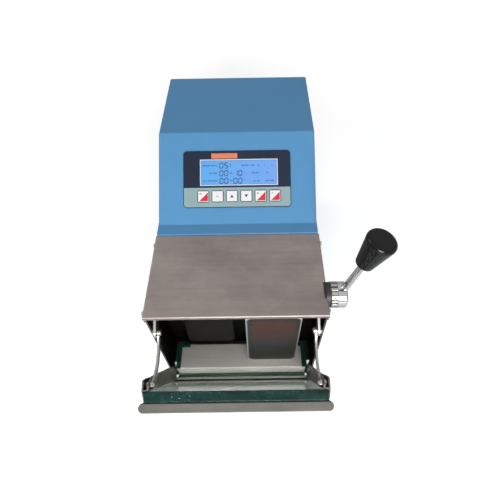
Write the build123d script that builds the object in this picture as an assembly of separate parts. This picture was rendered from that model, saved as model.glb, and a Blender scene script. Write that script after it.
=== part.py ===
from build123d import *
import math
import os

# A bench-top paddle blender: two flat paddles knock a plastic bag of sample against a
# bottom-hinged glass door.  Millimetres.  While the pieces are drawn, X = 0 is the middle of
# the body, Y = 0 its front, Z = 0 the bench; at the end everything moves so that the origin
# is the middle of the footprint.  The door is drawn shut and then swung open for the rest
# pose; the right paddle rests forward and the left one back.

# ---------------------------------------------------------------- clearances
sheet_gap = 0.1          # between fixed sheets that lie side by side
run_fit = 0.05           # radial clearance of a pin or shaft in its hole
plate_gap = 0.5          # between plates that swing past each other
past = 1.0               # how far a cut runs beyond the face it opens

# ---------------------------------------------------------------- body
body_width = 220.0
body_depth = 391.0
wall = 2.0
foot_height = 12.0
base_sheet = 2.0
cover_top = 210.0        # height of the steel cover over the bag chamber
housing_top = 283.0
ledge_front = 125.0
panel_bottom = 142.0     # Y where the sloping control panel starts
panel_top = 251.0        # Y of the crease between panel and top
housing_bend = 3.0       # outside radius of the painted sheet's bends

foot_radius = 15.0
foot_tip_radius = 13.0
foot_recess_radius = 4.5
foot_recess = 6.0
foot_inset_x = 18.0
foot_inset_y = 30.0
hinge_notch_gap = 1.5    # beside the door's hinge lugs

# ---------------------------------------------------------------- cover and chamber
cover_sheet = 1.5
cover_tongue = 8.0       # how far the cover slides under the ledge
skirt_height = 14.0
front_lip = 5.0
side_setback = 1.6       # the chamber sides start behind the cover's front lip
screw_head_radius = 4.0
screw_head_height = 2.5
screw_radius = 2.0
screw_recess_radius = 1.3
screw_recess = 1.2
cover_screw_drop = 6.0
cover_screw_front = 9.6
cover_screw_rear = 112.0

tray_top = 48.0
tray_sheet = 1.5
tray_side_gap = 2.5      # beside the door bracket's ears
tray_front = -2.5
tray_back = 36.0
trim_width = 5.5
trim_height = 1.5
trim_wrap = 1.2
trim_return = 12.0
sill_top = 25.0
sill_back = 8.0
sill_chamfer = 0.6

paddle_rear_gap = 5.0    # behind a paddle that is drawn back
back_plate_sheet = 2.0
back_plate_top = 206.0
back_notch_width = 14.0  # room for the crank arms at each side
back_notch_bottom = 135.0

# ---------------------------------------------------------------- door (drawn shut)
door_open_angle = 22.1
hinge_y = 8.0
hinge_z = 22.0
hinge_pin_radius = 3.0
hinge_head_radius = 5.0
hinge_head = 2.5
hinge_head_round = 1.2
hinge_lug_radius = 6.5
door_side_gap = 1.2      # between the door and the chamber sides
glass_thick = 12.0
glass_inner = -10.3      # Y of the pane's inner face when shut
glass_bottom = 23.2
glass_top = 199.6
glass_corner = 4.0
glass_chamfer = 1.0
gasket_thick = 1.2
rail_sheet = 1.5
rail_bottom = 21.0
rail_base = 2.0
rail_outer_top = 46.0
clamp_bar = 3.0
clamp_top = 34.0
clamp_side_gap = 1.0     # between the clamp bar and the ears
gasket_top = 35.0
seal_thick = 3.3
seal_bottom = 26.0
seal_top = 33.0
seal_side_gap = 2.0
seal_round = 1.0
cheek_sheet = 1.5
cheek_gap = 0.3
cheek_low_lift = 3.0     # the cheek's low front corner, above the rail's underside
cheek_front_drop = 12.0  # its slanted top corner, below the pane's top
cheek_top_back = 12.0    # its top edge, behind the pane
cheek_top_drop = 1.0
cheek_shoulder_back = 13.6
cheek_shoulder_drop = 13.0
cheek_foot_back = 14.6
cheek_foot_z = 60.0
cheek_lug_lift = 3.0
web_width = 5.8          # fold between the cheek and the inner ear
web_top_drop = 2.6
ear_sheet = 2.0
ear_bottom = 36.0
ear_top_back = 5.3
ear_shoulder_back = 15.6
ear_shoulder_drop = 16.0
ear_foot_back = 23.0
ear_foot_lift = 16.0
ear_low_back = 16.3
ear_low_lift = 2.0
bar_overhang = 4.5       # each end of the handle bar, beyond the pane
bar_depth = 11.0
bar_height = 22.0
bar_flat = 0.6           # cut off the bar where it lies on the pane
bar_edge_round = 0.8

# ---------------------------------------------------------------- lever and linkage
shaft_y = 35.0
shaft_radius = 6.0
bush_wall = 3.0
bush_inside = 3.0
shaft_z = cover_top - wall - shaft_radius - bush_wall
spacer_radius = 16.0
spacer_length = 6.0
collar_gap = 0.3
collar_radius = 16.5
collar_length = 8.2
collar_slots = 10
collar_slot = 1.6
collar_slot_depth = 1.2
collar_chamfer = 0.5
hub_radius = 16.5
hub_length = 12.0
hub_bore_depth = 9.5
hub_round = 3.0
rod_radius = 4.5
rod_tip_radius = 4.0
rod_shaft_gap = 3.0      # between the shaft and the rod's end
rod_setback = 4.5        # where the rod's line meets the shaft, from the hub's inner face
lever_lean = 15.0        # degrees outward from square to the shaft
lever_back = 1.9         # degrees backward from upright, door open
knob_start = 67.0
knob_length = 44.5
knob_narrow_radius = 11.0
knob_wide_radius = 18.5
knob_bore_depth = 14.0
knob_neck_round = 1.5
knob_end_round = 5.0
arm_pivot_y = -2.5
arm_pivot_z = 176.6
arm_sheet = 3.0
arm_wall = 2.0           # round the shaft
arm_pivot_end = 7.0
ear_pivot_y = -65.6
ear_pivot_z = 169.9
link_sheet = 2.5
link_width = 8.0
link_eye = 5.0
link_dip = 12.0
pivot_radius = 2.5
pivot_head_radius = 4.0
pivot_head = 2.3
pivot_head_round = 1.38
nut_length = 2.4
nut_radius = 4.3

# ---------------------------------------------------------------- paddles and drive
paddle_width = 72.0
paddle_bottom = 52.0
paddle_height = 140.0
paddle_depth = 12.0
paddle_sheet = 2.0
paddle_corner = 10.0
paddle_bend = 4.5
paddle_split = 20.0      # between the two paddles
paddle_front = 7.0       # Y of a forward paddle's face
crank_throw = 15.0       # half of the stroke
rod_spread = 35.0        # push rods above and below the crank's height
push_rod_radius = 6.0
rod_hole_gap = 1.0
guide_block_width = 34.0
guide_block_depth = 24.0
guide_block_margin = 14.0
guide_block_chamfer = 2.0
guide_bush_wall = 3.0
yoke_thick = 10.0
yoke_wall = 8.0
yoke_front_gap = 6.5     # between a yoke that is pushed forward and the guide block
yoke_rod_margin = 4.0
yoke_corner = 6.0
roller_radius = 11.0
roller_gap = 0.3425
roller_end_gap = 2.0     # above and below the roller at mid stroke
steady_error = 0.2105    # a steady feed leaves the crank's sine by this share of the throw
crank_pin_radius = 6.0
journal_radius = 7.5
journal_overhang = 4.0
web_thick = 5.0
web_radius = 10.0
web_pin_radius = 9.0
bearing_radius = 16.0
bearing_width = 10.0
bearing_seat = 3.0       # shoulder beside the bearing's ring
bearing_web_gap = 5.5
bearing_block_width = 14.0
bearing_block_depth = 40.0
bearing_block_margin = 6.0
bearing_block_round = 10.0
crank_pulley_radius = 38.0
motor_pulley_radius = 19.0
pulley_half_width = 9.0
groove_depth = 1.2
groove_count = 4
belt_half_width = 7.5
belt_thick = 3.0
belt_gap = 0.2
pulley_spacing = 138.0   # from the crankshaft back to the motor
motor_z = 75.0
motor_radius = 38.0
motor_start = 26.0
motor_length = 78.0
motor_boss_radius = 14.0
motor_boss_length = 5.0
motor_shaft_radius = 5.0
motor_shaft_end = 30.0
motor_shaft_overhang = 3.0
motor_edge_round = 3.0
motor_groove_count = 16
motor_groove = 3.0
motor_groove_margin = 12.0
bracket_plate = 5.0
bracket_half_depth = 45.0
bracket_height = 104.0
bracket_foot = 42.0

# ---------------------------------------------------------------- control panel
bezel_width = 150.0
bezel_height = 80.0
bezel_thick = 1.2
bezel_corner = 5.0
bezel_drop = 27.0        # down the slope from the crease
window_width = 109.0
window_height = 37.4
window_drop = 30.6       # from the bezel's top edge to the window's middle
window_shift = 2.7
window_thick = 1.0
window_gap = 0.1
window_lap = 2.5         # rim of the window that rests on the housing
key_size = 14.5
key_pitch = 20.0
key_count = 6
key_drop = 64.2
key_gap = 0.25
key_lift = 0.6
key_thick = 1.0
key_stem_radius = 2.0
key_stem_reach = 5.5
key_hole_radius = 3.0
key_travel = 0.5
board_width = 144.0
board_height = 76.0
board_thick = 1.6
board_depth = 10.0       # below the housing's outer face
board_drop = 2.0
board_post_radius = 3.0
switch_size = 6.0
switch_gap = 0.3         # left under a fully pressed key's stem
lcd_margin = 3.0

# ---------------------------------------------------------------- rear panel
rear_sheet = 2.0
rear_flange = 12.0
rear_screw_inset = 20.0
vent_count = 9
vent_width = 90.0
vent_height = 4.0
vent_pitch = 10.0
vent_bottom = 150.0
inlet_x = -60.0
inlet_z = 60.0
inlet_width = 27.0
inlet_height = 20.0
inlet_depth = 26.0
inlet_flange = 2.0
inlet_flange_rim = 3.0
inlet_mouth_width = 22.0
inlet_mouth_height = 14.0
inlet_mouth_depth = 16.0
inlet_mouth_chamfer = 4.0
inlet_pin_length = 11.0
inlet_pin_half_width = 1.0
inlet_pin_half_height = 2.0
inlet_pins = ((-7.0, -2.0), (0.0, 2.0), (7.0, -2.0))
rocker_z = 112.0
rocker_half_width = 10.6
rocker_half_height = 7.0
rocker_depth = 6.0
rocker_proud = 2.6
rocker_dip = 1.6
rocker_tilt = 8.0
rocker_pivot_radius = 1.5
rocker_pivot_depth = 4.0 # below the frame's rear face
rocker_taper = 1.0
rocker_side_gap = 0.4
rocker_end_gap = 0.9
rocker_pin_reach = 1.0   # of the pivot pin into the frame
rocker_under_gap = 1.0
power_board_side_gap = 8.0
power_board_rear_gap = 54.0
power_board_width = 66.0
power_board_length = 100.0
power_board_lift = 8.0
power_post_radius = 3.0
power_post_inset = 5.0
transformer_width = 40.0
transformer_length = 46.0
transformer_height = 36.0
transformer_x = 8.0      # from the board's left edge
power_part_y = 12.0      # from the board's front edge
capacitor_radius = 9.0
capacitor_height = 28.0
capacitor_places = (18.0, 44.0)
capacitor_rear_gap = 20.0
heat_sink_sheet = 4.0
heat_sink_height = 30.0
heat_sink_edge_gap = 8.0

# ---------------------------------------------------------------- sizes that follow from those
half_width = body_width / 2
inner_half = half_width - wall
base_top = foot_height + base_sheet
ledge_top = cover_top + wall
cover_half = half_width + sheet_gap + cover_sheet
slope_angle = math.degrees(math.atan2(housing_top - ledge_top, panel_top - panel_bottom))

glass_width = 2 * (inner_half - door_side_gap - cheek_sheet - cheek_gap)
cheek_inner = glass_width / 2 + cheek_gap
ear_inner = cheek_inner - web_width
arm_inner = ear_inner
link_outer = ear_inner - plate_gap
link_inner = link_outer - link_sheet
tray_half_width = ear_inner - tray_side_gap
bar_length = glass_width + 2 * bar_overhang

bush_radius = shaft_radius + bush_wall
arm_shaft_end = shaft_radius + arm_wall
rod_start = shaft_radius + rod_shaft_gap

paddle_centre_x = (paddle_width + paddle_split) / 2
crank_z = paddle_bottom + paddle_height / 2
back_plate_front = paddle_front + 2 * crank_throw + paddle_depth + paddle_rear_gap
back_plate_rear = back_plate_front + back_plate_sheet
guide_block_rear = back_plate_rear + guide_block_depth
yoke_slot_width = 2 * (roller_radius + steady_error * crank_throw + roller_gap)
yoke_slot_height = 2 * (crank_throw + roller_radius + roller_end_gap)
yoke_half_depth = yoke_slot_width / 2 + yoke_wall
yoke_half_height = rod_spread + push_rod_radius + yoke_rod_margin
crank_y = guide_block_rear + yoke_front_gap + yoke_half_depth + crank_throw
web_outer = paddle_centre_x + yoke_thick / 2 + plate_gap + web_thick
bearing_x = web_outer + bearing_web_gap + bearing_block_width / 2
journal_end = bearing_x + bearing_block_width / 2 + journal_overhang
motor_y = crank_y + pulley_spacing

parts = {}


# ---------------------------------------------------------------- drawing helpers
def block(x0, x1, y0, y1, z0, z1):
    """Box between two opposite corners."""
    return Pos((x0 + x1) / 2, (y0 + y1) / 2, (z0 + z1) / 2) * Box(x1 - x0, y1 - y0, z1 - z0)


def bar_x(x0, x1, y, z, radius):
    """Round bar along X."""
    return Pos((x0 + x1) / 2, y, z) * Rot(0, 90, 0) * Cylinder(radius, x1 - x0)


def bar_y(x, y0, y1, z, radius):
    """Round bar along Y."""
    return Pos(x, (y0 + y1) / 2, z) * Rot(90, 0, 0) * Cylinder(radius, y1 - y0)


def plate_yz(sketch, x0, x1):
    """Flat plate parallel to the body's sides, from a sketch drawn in Y and Z."""
    return extrude(Plane.YZ.offset(x0) * sketch, x1 - x0, dir=(1, 0, 0))


def outline(*points):
    """Closed polygon through points of a sketch."""
    return Polygon(*points, align=None)


def disc(y, z, radius):
    """Circle of a sketch."""
    return Pos(y, z) * Circle(radius)


def lug(y0, z0, radius0, y1, z1, radius1):
    """Bar outline with two rounded ends of their own radius."""
    return make_hull(disc(y0, z0, radius0).edges() + disc(y1, z1, radius1).edges())


def both_sides(shape):
    """The shape and its mirror image across the middle of the body."""
    return [shape, mirror(shape, about=Plane.YZ)]


def group(*shapes):
    """Several separate solids that make one node."""
    solids = []
    for shape in shapes:
        solids += shape.solids()
    return Compound(solids)


def open_door(shape):
    """Swing a piece of the shut door to the open rest pose."""
    swing = Pos(0, hinge_y, hinge_z) * Rot(door_open_angle, 0, 0) * Pos(0, -hinge_y, -hinge_z)
    return swing * shape


def swing_point(y, z, degrees):
    """A point of the door, turned about the hinge."""
    a = math.radians(degrees)
    dy = y - hinge_y
    dz = z - hinge_z
    return (hinge_y + dy * math.cos(a) - dz * math.sin(a),
            hinge_z + dy * math.sin(a) + dz * math.cos(a))


slope = Plane(origin=(0, panel_top, housing_top), x_dir=(1, 0, 0),
              z_dir=(0, -math.sin(math.radians(slope_angle)), math.cos(math.radians(slope_angle))))


def on_slope(x, drop, height, shape):
    """Place a shape on the sloping panel: drop is measured down from the crease."""
    return slope.location * Pos(x, -drop, height) * shape


def slope_block(x, drop, low, high, width, length):
    """Box that lies on the sloping panel between two heights above its face."""
    return on_slope(x, drop, (low + high) / 2, Box(width, length, high - low))


def dome_screw(length):
    """Domed screw with its head above the XY plane."""
    head = Pos(0, 0, screw_head_height / 2) * Cylinder(screw_head_radius, screw_head_height)
    head = fillet(head.edges().sort_by(Axis.Z)[-1], screw_head_height * 0.7)
    recess = extrude(RegularPolygon(screw_recess_radius, 6), -screw_recess)
    recess = Pos(0, 0, screw_head_height) * recess
    return head - recess + Pos(0, 0, -length / 2) * Cylinder(screw_radius, length)


# ---------------------------------------------------------------- body pieces
def make_base():
    edge = inner_half - sheet_gap
    sheet = block(-edge, edge, 0, body_depth, foot_height, base_top)
    notch = block(cheek_inner - hinge_notch_gap, half_width, -past, hinge_y + 2 * hinge_lug_radius,
                  0, base_top + past)
    for cut in both_sides(notch):
        sheet -= cut
    return sheet


def make_feet():
    feet = []
    for x in (-half_width + foot_inset_x, half_width - foot_inset_x):
        for y in (foot_inset_y, body_depth - foot_inset_y):
            foot = Pos(x, y, foot_height / 2) * Cone(foot_tip_radius, foot_radius, foot_height)
            foot -= Pos(x, y, foot_recess / 2) * Cylinder(foot_recess_radius, foot_recess)
            feet.append(foot)
    return group(*feet)


def cover_screw_points():
    z = cover_top - cover_screw_drop
    return [(cover_screw_front, z), (cover_screw_rear, z)]


def make_chamber_side(sign):
    rear = ledge_front - sheet_gap
    sheet = outline((side_setback, foot_height), (rear, foot_height),
                    (rear, cover_top - cover_sheet), (side_setback, cover_top - cover_sheet))
    sheet -= disc(shaft_y, shaft_z, bush_radius)
    sheet -= disc(hinge_y, hinge_z, hinge_pin_radius)
    for y, z in cover_screw_points():
        sheet -= disc(y, z, screw_radius)
    panel = plate_yz(sheet, inner_half, half_width)
    return panel if sign > 0 else mirror(panel, about=Plane.YZ)


def make_cover():
    """Steel cover: flat top, folded skirts and a rolled front lip, tucked under the ledge."""
    top = block(-cover_half, cover_half, 0, ledge_front - sheet_gap,
                cover_top - skirt_height, cover_top)
    front_top = top.edges().filter_by(Axis.X).group_by(Axis.Z)[-1].sort_by(Axis.Y)[0]
    side_tops = top.edges().filter_by(Axis.Y).group_by(Axis.Z)[-1]
    top = fillet([front_top] + list(side_tops), cover_sheet * 1.2)
    inside = half_width + sheet_gap
    top -= block(-inside, inside, cover_sheet, ledge_front, 0, cover_top - cover_sheet)
    top -= block(-cover_half - past, cover_half + past, -past, cover_sheet,
                 0, cover_top - front_lip)
    tongue = block(-inner_half + 1, inner_half - 1, ledge_front - 1, ledge_front + cover_tongue,
                   cover_top - cover_sheet, cover_top)
    cover = top + tongue
    for y, z in cover_screw_points():
        cover -= bar_x(-cover_half - past, cover_half + past, y, z, screw_radius)
    cover -= bar_x(inner_half, cover_half + past, shaft_y, shaft_z, spacer_radius + plate_gap)
    return cover


def make_housing_screws():
    screws = []
    for y, z in cover_screw_points():
        screw = Pos(cover_half, y, z) * Rot(0, 90, 0) * dome_screw(cover_half - inner_half + past)
        screws += both_sides(screw)
    for x, z in rear_screw_points():
        screws.append(Pos(x, body_depth, z) * Rot(-90, 0, 0) * dome_screw(rear_sheet + wall + past))
    return group(*screws)


def housing_profile(offset, rear):
    """Side view of the painted housing, shrunk inward by offset."""
    s = math.radians(slope_angle)
    shift = offset * math.tan(s / 2)
    return outline((ledge_front - offset, base_top - offset), (ledge_front - offset, ledge_top - offset),
                   (panel_bottom + shift, ledge_top - offset), (panel_top + shift, housing_top - offset),
                   (rear, housing_top - offset), (rear, base_top - offset))


def make_housing():
    """Painted rear housing: a bent sheet open at front, bottom and back."""
    shell = plate_yz(housing_profile(0, body_depth), -half_width, half_width)
    tops = [e for e in shell.edges() if e.center().Z > ledge_top + 0.1]
    bends = [e for e in tops if abs(abs(e.center().X) - half_width) < 0.01]
    bends = [e for e in bends if e.center().Y < body_depth - 1]
    bends += [e for e in tops if abs(e.center().X) < 0.01 and e.center().Y < body_depth - 1]
    shell = fillet(bends, housing_bend)
    shell -= plate_yz(housing_profile(wall, body_depth + past), -inner_half, inner_half)
    rear_y = body_depth - rear_sheet - sheet_gap
    frame = block(-inner_half, inner_half, rear_y - wall, rear_y, base_top, housing_top - wall)
    inner = inner_half - rear_flange
    frame -= block(-inner, inner, 0, body_depth, 0, housing_top - wall - rear_flange)
    shell += frame
    for x, z in rear_screw_points():
        shell -= bar_y(x, rear_y - wall - past, body_depth, z, screw_radius)
    window = slope_block(window_shift, bezel_drop + window_drop, -2 * wall, wall,
                         window_width - 2 * window_lap, window_height - 2 * window_lap)
    shell -= window
    for x in key_places():
        shell -= on_slope(x, bezel_drop + key_drop, -wall, Cylinder(key_hole_radius, 4 * wall))
    return shell


def rear_screw_points():
    x = inner_half - rear_flange / 2
    rows = (base_top + rear_screw_inset, (base_top + housing_top) / 2,
            housing_top - rear_screw_inset)
    return [(side * x, z) for side in (-1, 1) for z in rows]


def make_rear_panel():
    edge = inner_half - sheet_gap
    panel = block(-edge, edge, body_depth - rear_sheet, body_depth, base_top,
                  housing_top - wall - sheet_gap)
    for row in range(vent_count):
        slot = Rot(90, 0, 0) * extrude(SlotOverall(vent_width, vent_height), rear_sheet * 3, both=True)
        panel -= Pos(0, body_depth, vent_bottom + row * vent_pitch) * slot
    front = body_depth - rear_sheet - past
    for z in (inlet_z, rocker_z):
        panel -= block(inlet_x - inlet_width / 2, inlet_x + inlet_width / 2,
                       front, body_depth + past, z - inlet_height / 2, z + inlet_height / 2)
    for x, z in rear_screw_points():
        panel -= bar_y(x, front, body_depth + past, z, screw_radius)
    return panel


def make_back_plate():
    edge = inner_half - sheet_gap
    front = back_plate_front - past
    rear = back_plate_rear + past
    plate = block(-edge, edge, back_plate_front, back_plate_rear, base_top, back_plate_top)
    notch = block(edge - back_notch_width, edge + past, front, rear,
                  back_notch_bottom, back_plate_top + past)
    for cut in both_sides(notch):
        plate -= cut
    for x in (-paddle_centre_x, paddle_centre_x):
        for z in (crank_z - rod_spread, crank_z + rod_spread):
            plate -= bar_y(x, front, rear, z, push_rod_radius + rod_hole_gap)
    return plate


def make_tray():
    """Chamber floor, a bridge of sheet between the sill and the base."""
    low = tray_top - tray_sheet
    tray = block(-tray_half_width, tray_half_width, tray_front, tray_back, base_top, tray_top)
    fronts = tray.edges().filter_by(Axis.X).group_by(Axis.Z)[-1]
    tray = fillet(fronts, tray_sheet)
    side = tray_half_width + past
    tray -= block(-side, side, tray_front + tray_sheet, tray_back - tray_sheet, 0, low)
    tray -= block(-side, side, tray_front - past, tray_front + tray_sheet + past, 0, sill_top)
    return tray


def make_tray_trim():
    """Edge trim along each side of the tray, with a short return at the back corner."""
    inner = tray_half_width - trim_width
    outer = tray_half_width + trim_wrap
    trim = block(inner, outer, tray_front, tray_back, tray_top, tray_top + trim_height)
    trim += block(tray_half_width, outer, tray_front, tray_back, tray_top - 2 * tray_sheet, tray_top)
    trim += block(inner - trim_return, inner, tray_back - trim_width, tray_back,
                  tray_top, tray_top + trim_height)
    return group(*both_sides(trim))


def make_sill():
    sill = block(-tray_half_width, tray_half_width, tray_front, sill_back, base_top, sill_top)
    edge = sill.edges().filter_by(Axis.X).group_by(Axis.Z)[-1].sort_by(Axis.Y)[0]
    return chamfer(edge, sill_chamfer)


# ---------------------------------------------------------------- door
def make_glass():
    pane = block(-glass_width / 2, glass_width / 2, glass_inner - glass_thick, glass_inner,
                 glass_bottom, glass_top)
    top_corners = pane.edges().filter_by(Axis.Y).group_by(Axis.Z)[-1]
    pane = fillet(top_corners, glass_corner)
    faces = pane.faces().sort_by(Axis.Y)
    pane = chamfer(faces[0].edges() + faces[-1].edges(), glass_chamfer)
    return open_door(pane)


def make_door_bracket():
    """Folded side bracket: outer cheek with the hinge lug, web on the glass, inner ear."""
    outer = glass_inner - glass_thick
    web_back = glass_inner + cheek_sheet + sheet_gap
    web_top = glass_top - web_top_drop
    cheek = outline((outer, rail_bottom + cheek_low_lift), (outer, glass_top - cheek_front_drop),
                    (glass_inner, glass_top),
                    (glass_inner + cheek_top_back, glass_top - cheek_top_drop),
                    (glass_inner + cheek_shoulder_back, glass_top - cheek_shoulder_drop),
                    (glass_inner + cheek_foot_back, cheek_foot_z),
                    (hinge_y + hinge_lug_radius, hinge_z + cheek_lug_lift),
                    (hinge_y, hinge_z - hinge_lug_radius))
    cheek += disc(hinge_y, hinge_z, hinge_lug_radius)
    cheek -= disc(hinge_y, hinge_z, hinge_pin_radius + run_fit)
    bracket = plate_yz(cheek, cheek_inner, cheek_inner + cheek_sheet)
    bracket += block(ear_inner, cheek_inner + cheek_sheet, glass_inner + sheet_gap, web_back,
                     ear_bottom, web_top)
    ear = outline((glass_inner + sheet_gap, ear_bottom), (glass_inner + sheet_gap, web_top),
                  (glass_inner + ear_top_back, web_top),
                  (glass_inner + ear_shoulder_back, web_top - ear_shoulder_drop),
                  (glass_inner + ear_foot_back, ear_bottom + ear_foot_lift),
                  (glass_inner + ear_low_back, ear_bottom + ear_low_lift))
    y, z = swing_point(ear_pivot_y, ear_pivot_z, -door_open_angle)
    ear -= disc(y, z, pivot_radius + run_fit)
    bracket += plate_yz(ear, ear_inner, ear_inner + ear_sheet)
    return open_door(bracket)


def make_rail():
    """Channel that holds the pane's bottom edge, with the clamp bar inside the door."""
    edge = glass_width / 2 + cheek_gap - sheet_gap
    outer = glass_inner - glass_thick - sheet_gap
    clamp = glass_inner + gasket_thick
    rail = block(-edge, edge, outer - rail_sheet, clamp + clamp_bar, rail_bottom,
                 rail_bottom + rail_base)
    rail += block(-edge, edge, outer - rail_sheet, outer, rail_bottom, rail_outer_top)
    inside = ear_inner - clamp_side_gap
    rail += block(-inside, inside, clamp, clamp + clamp_bar, rail_bottom, clamp_top)
    return open_door(rail)


def make_gasket():
    inside = ear_inner - clamp_side_gap
    strip = block(-inside, inside, glass_inner, glass_inner + gasket_thick,
                  rail_bottom + rail_base, gasket_top)
    return open_door(strip)


def make_door_seal():
    start = glass_inner + gasket_thick + clamp_bar
    inside = ear_inner - seal_side_gap
    strip = block(-inside, inside, start, start + seal_thick, seal_bottom, seal_top)
    inner_edges = strip.edges().filter_by(Axis.X).group_by(Axis.Y)[-1]
    strip = fillet(inner_edges, seal_round)
    return open_door(strip)


def make_handle_bar():
    """Round-ended bar across the top of the pane's outer face, gripped to open the door."""
    outer = glass_inner - glass_thick - sheet_gap
    plan = Pos(0, outer - bar_depth / 2) * SlotOverall(bar_length, bar_depth)
    bar = extrude(Plane.XY.offset(glass_top - bar_height) * plan, bar_height)
    bar -= block(-bar_length, bar_length, outer - bar_flat, outer + past,
                 0, glass_top + past)
    bar = fillet(bar.edges().filter_by(Axis.X), bar_edge_round)
    return open_door(bar)


def make_hinge_pins():
    inner = cheek_inner - plate_gap
    pin = bar_x(inner, half_width, hinge_y, hinge_z, hinge_pin_radius)
    head = bar_x(half_width, half_width + hinge_head, hinge_y, hinge_z, hinge_head_radius)
    head = fillet(head.edges().sort_by(Axis.X)[-1], hinge_head_round)
    return group(*both_sides(pin + head))


# ---------------------------------------------------------------- lever and linkage
def collar_start():
    return half_width + spacer_length + collar_gap


def hub_start():
    return collar_start() + collar_length


def make_lever_shaft():
    return bar_x(-half_width + sheet_gap, hub_start() + hub_bore_depth, shaft_y, shaft_z, shaft_radius)


def make_lever_bushes():
    right = bar_x(inner_half - bush_inside, half_width, shaft_y, shaft_z, bush_radius)
    right += bar_x(half_width, half_width + spacer_length, shaft_y, shaft_z, spacer_radius)
    left = bar_x(-half_width, -inner_half + bush_inside, shaft_y, shaft_z, bush_radius)
    bore = bar_x(-half_width - past, half_width + spacer_length + past, shaft_y, shaft_z,
                 shaft_radius + run_fit)
    return group(right - bore, left - bore)


def make_crank_arms():
    arm = lug(shaft_y, shaft_z, arm_shaft_end, arm_pivot_y, arm_pivot_z, arm_pivot_end)
    arm -= disc(shaft_y, shaft_z, shaft_radius)
    arm -= disc(arm_pivot_y, arm_pivot_z, pivot_radius)
    return group(*both_sides(plate_yz(arm, arm_inner, arm_inner + arm_sheet)))


def make_arm_screws():
    """The crank arms' half of the pivots that are open in this model."""
    out = arm_inner + arm_sheet
    screw = bar_x(arm_inner, out + nut_length, arm_pivot_y, arm_pivot_z, pivot_radius)
    screw += hex_nut(out, arm_pivot_y, arm_pivot_z)
    return group(*both_sides(screw))


def make_collar():
    """Slotted ring nut that clamps the lever's hub to its shaft."""
    start = collar_start()
    ring = bar_x(start, hub_start(), shaft_y, shaft_z, collar_radius)
    ring = chamfer(ring.edges(), collar_chamfer)
    ring -= bar_x(start - past, hub_start() + past, shaft_y, shaft_z, shaft_radius)
    for turn in range(collar_slots):
        slot = Box(collar_length * 2, collar_slot, 2 * collar_slot_depth)
        place = Pos(start, shaft_y, shaft_z) * Rot(turn * 360 / collar_slots, 0, 0)
        ring -= place * Pos(0, 0, collar_radius) * slot
    return ring


def lever_place():
    """Frame where the rod's line meets the shaft, with Z along the rod, in the rest pose."""
    lean = math.radians(lever_lean)
    back = math.radians(lever_back)
    along = (math.sin(lean), math.cos(lean) * math.sin(back), math.cos(lean) * math.cos(back))
    return Plane(origin=(hub_start() + rod_setback, shaft_y, shaft_z), z_dir=along).location


def make_lever_rod():
    end = knob_start + knob_bore_depth
    rod = Pos(0, 0, (rod_start + end) / 2) * Cone(rod_radius, rod_tip_radius, end - rod_start)
    return lever_place() * rod


def make_hub():
    """Chromed hub with a rounded outer end, bored for the shaft and the rod."""
    start = hub_start()
    hub = bar_x(start, start + hub_length, shaft_y, shaft_z, hub_radius)
    hub = fillet(hub.edges().sort_by(Axis.X)[-1], hub_round)
    hub -= bar_x(start - past, start + hub_bore_depth, shaft_y, shaft_z, shaft_radius)
    return hub - make_lever_rod()


def make_knob():
    """Tapered grip knob, narrow where the rod enters it."""
    knob = Pos(0, 0, knob_start + knob_length / 2)
    knob *= Cone(knob_narrow_radius, knob_wide_radius, knob_length)
    ends = knob.edges().filter_by(GeomType.CIRCLE).sort_by(Axis.Z)
    knob = fillet(ends[0], knob_neck_round)
    knob = fillet(knob.edges().filter_by(GeomType.CIRCLE).sort_by(Axis.Z)[-1], knob_end_round)
    return lever_place() * knob - make_lever_rod()


def pan_head(y, z):
    """Round screw head on the link's inner face."""
    head = bar_x(link_inner - pivot_head, link_inner, y, z, pivot_head_radius)
    return fillet(head.edges().sort_by(Axis.X)[0], pivot_head_round)


def hex_nut(x, y, z):
    """Hexagon nut whose inner face is at x, with the axis along X."""
    return extrude(Plane.YZ.offset(x) * Pos(y, z) * RegularPolygon(nut_radius, 6), nut_length)


def make_link():
    """Bent flat link with a screw in each eye; the ear's screw runs through the ear."""
    middle_y = (arm_pivot_y + ear_pivot_y) / 2
    middle_z = (arm_pivot_z + ear_pivot_z) / 2 - link_dip
    curve = ThreePointArc((arm_pivot_y, arm_pivot_z), (middle_y, middle_z),
                          (ear_pivot_y, ear_pivot_z))
    flat = trace(curve, link_width)
    for y, z in ((arm_pivot_y, arm_pivot_z), (ear_pivot_y, ear_pivot_z)):
        flat += disc(y, z, link_eye)
        flat -= disc(y, z, pivot_radius)
    bar = plate_yz(flat, link_inner, link_outer)
    arm_half = bar_x(link_inner, link_outer + sheet_gap, arm_pivot_y, arm_pivot_z, pivot_radius)
    arm_half += pan_head(arm_pivot_y, arm_pivot_z)
    ear_screw = bar_x(link_inner, nut_start() + nut_length, ear_pivot_y, ear_pivot_z, pivot_radius)
    ear_screw += pan_head(ear_pivot_y, ear_pivot_z)
    return group(bar, arm_half, ear_screw)


def nut_start():
    return ear_inner + ear_sheet + sheet_gap


def make_ear_nut():
    """Nut on the end of the ear's screw."""
    nut = hex_nut(nut_start(), ear_pivot_y, ear_pivot_z)
    return nut - bar_x(ear_inner, nut_start() + nut_length + past, ear_pivot_y, ear_pivot_z,
                       pivot_radius)


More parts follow.
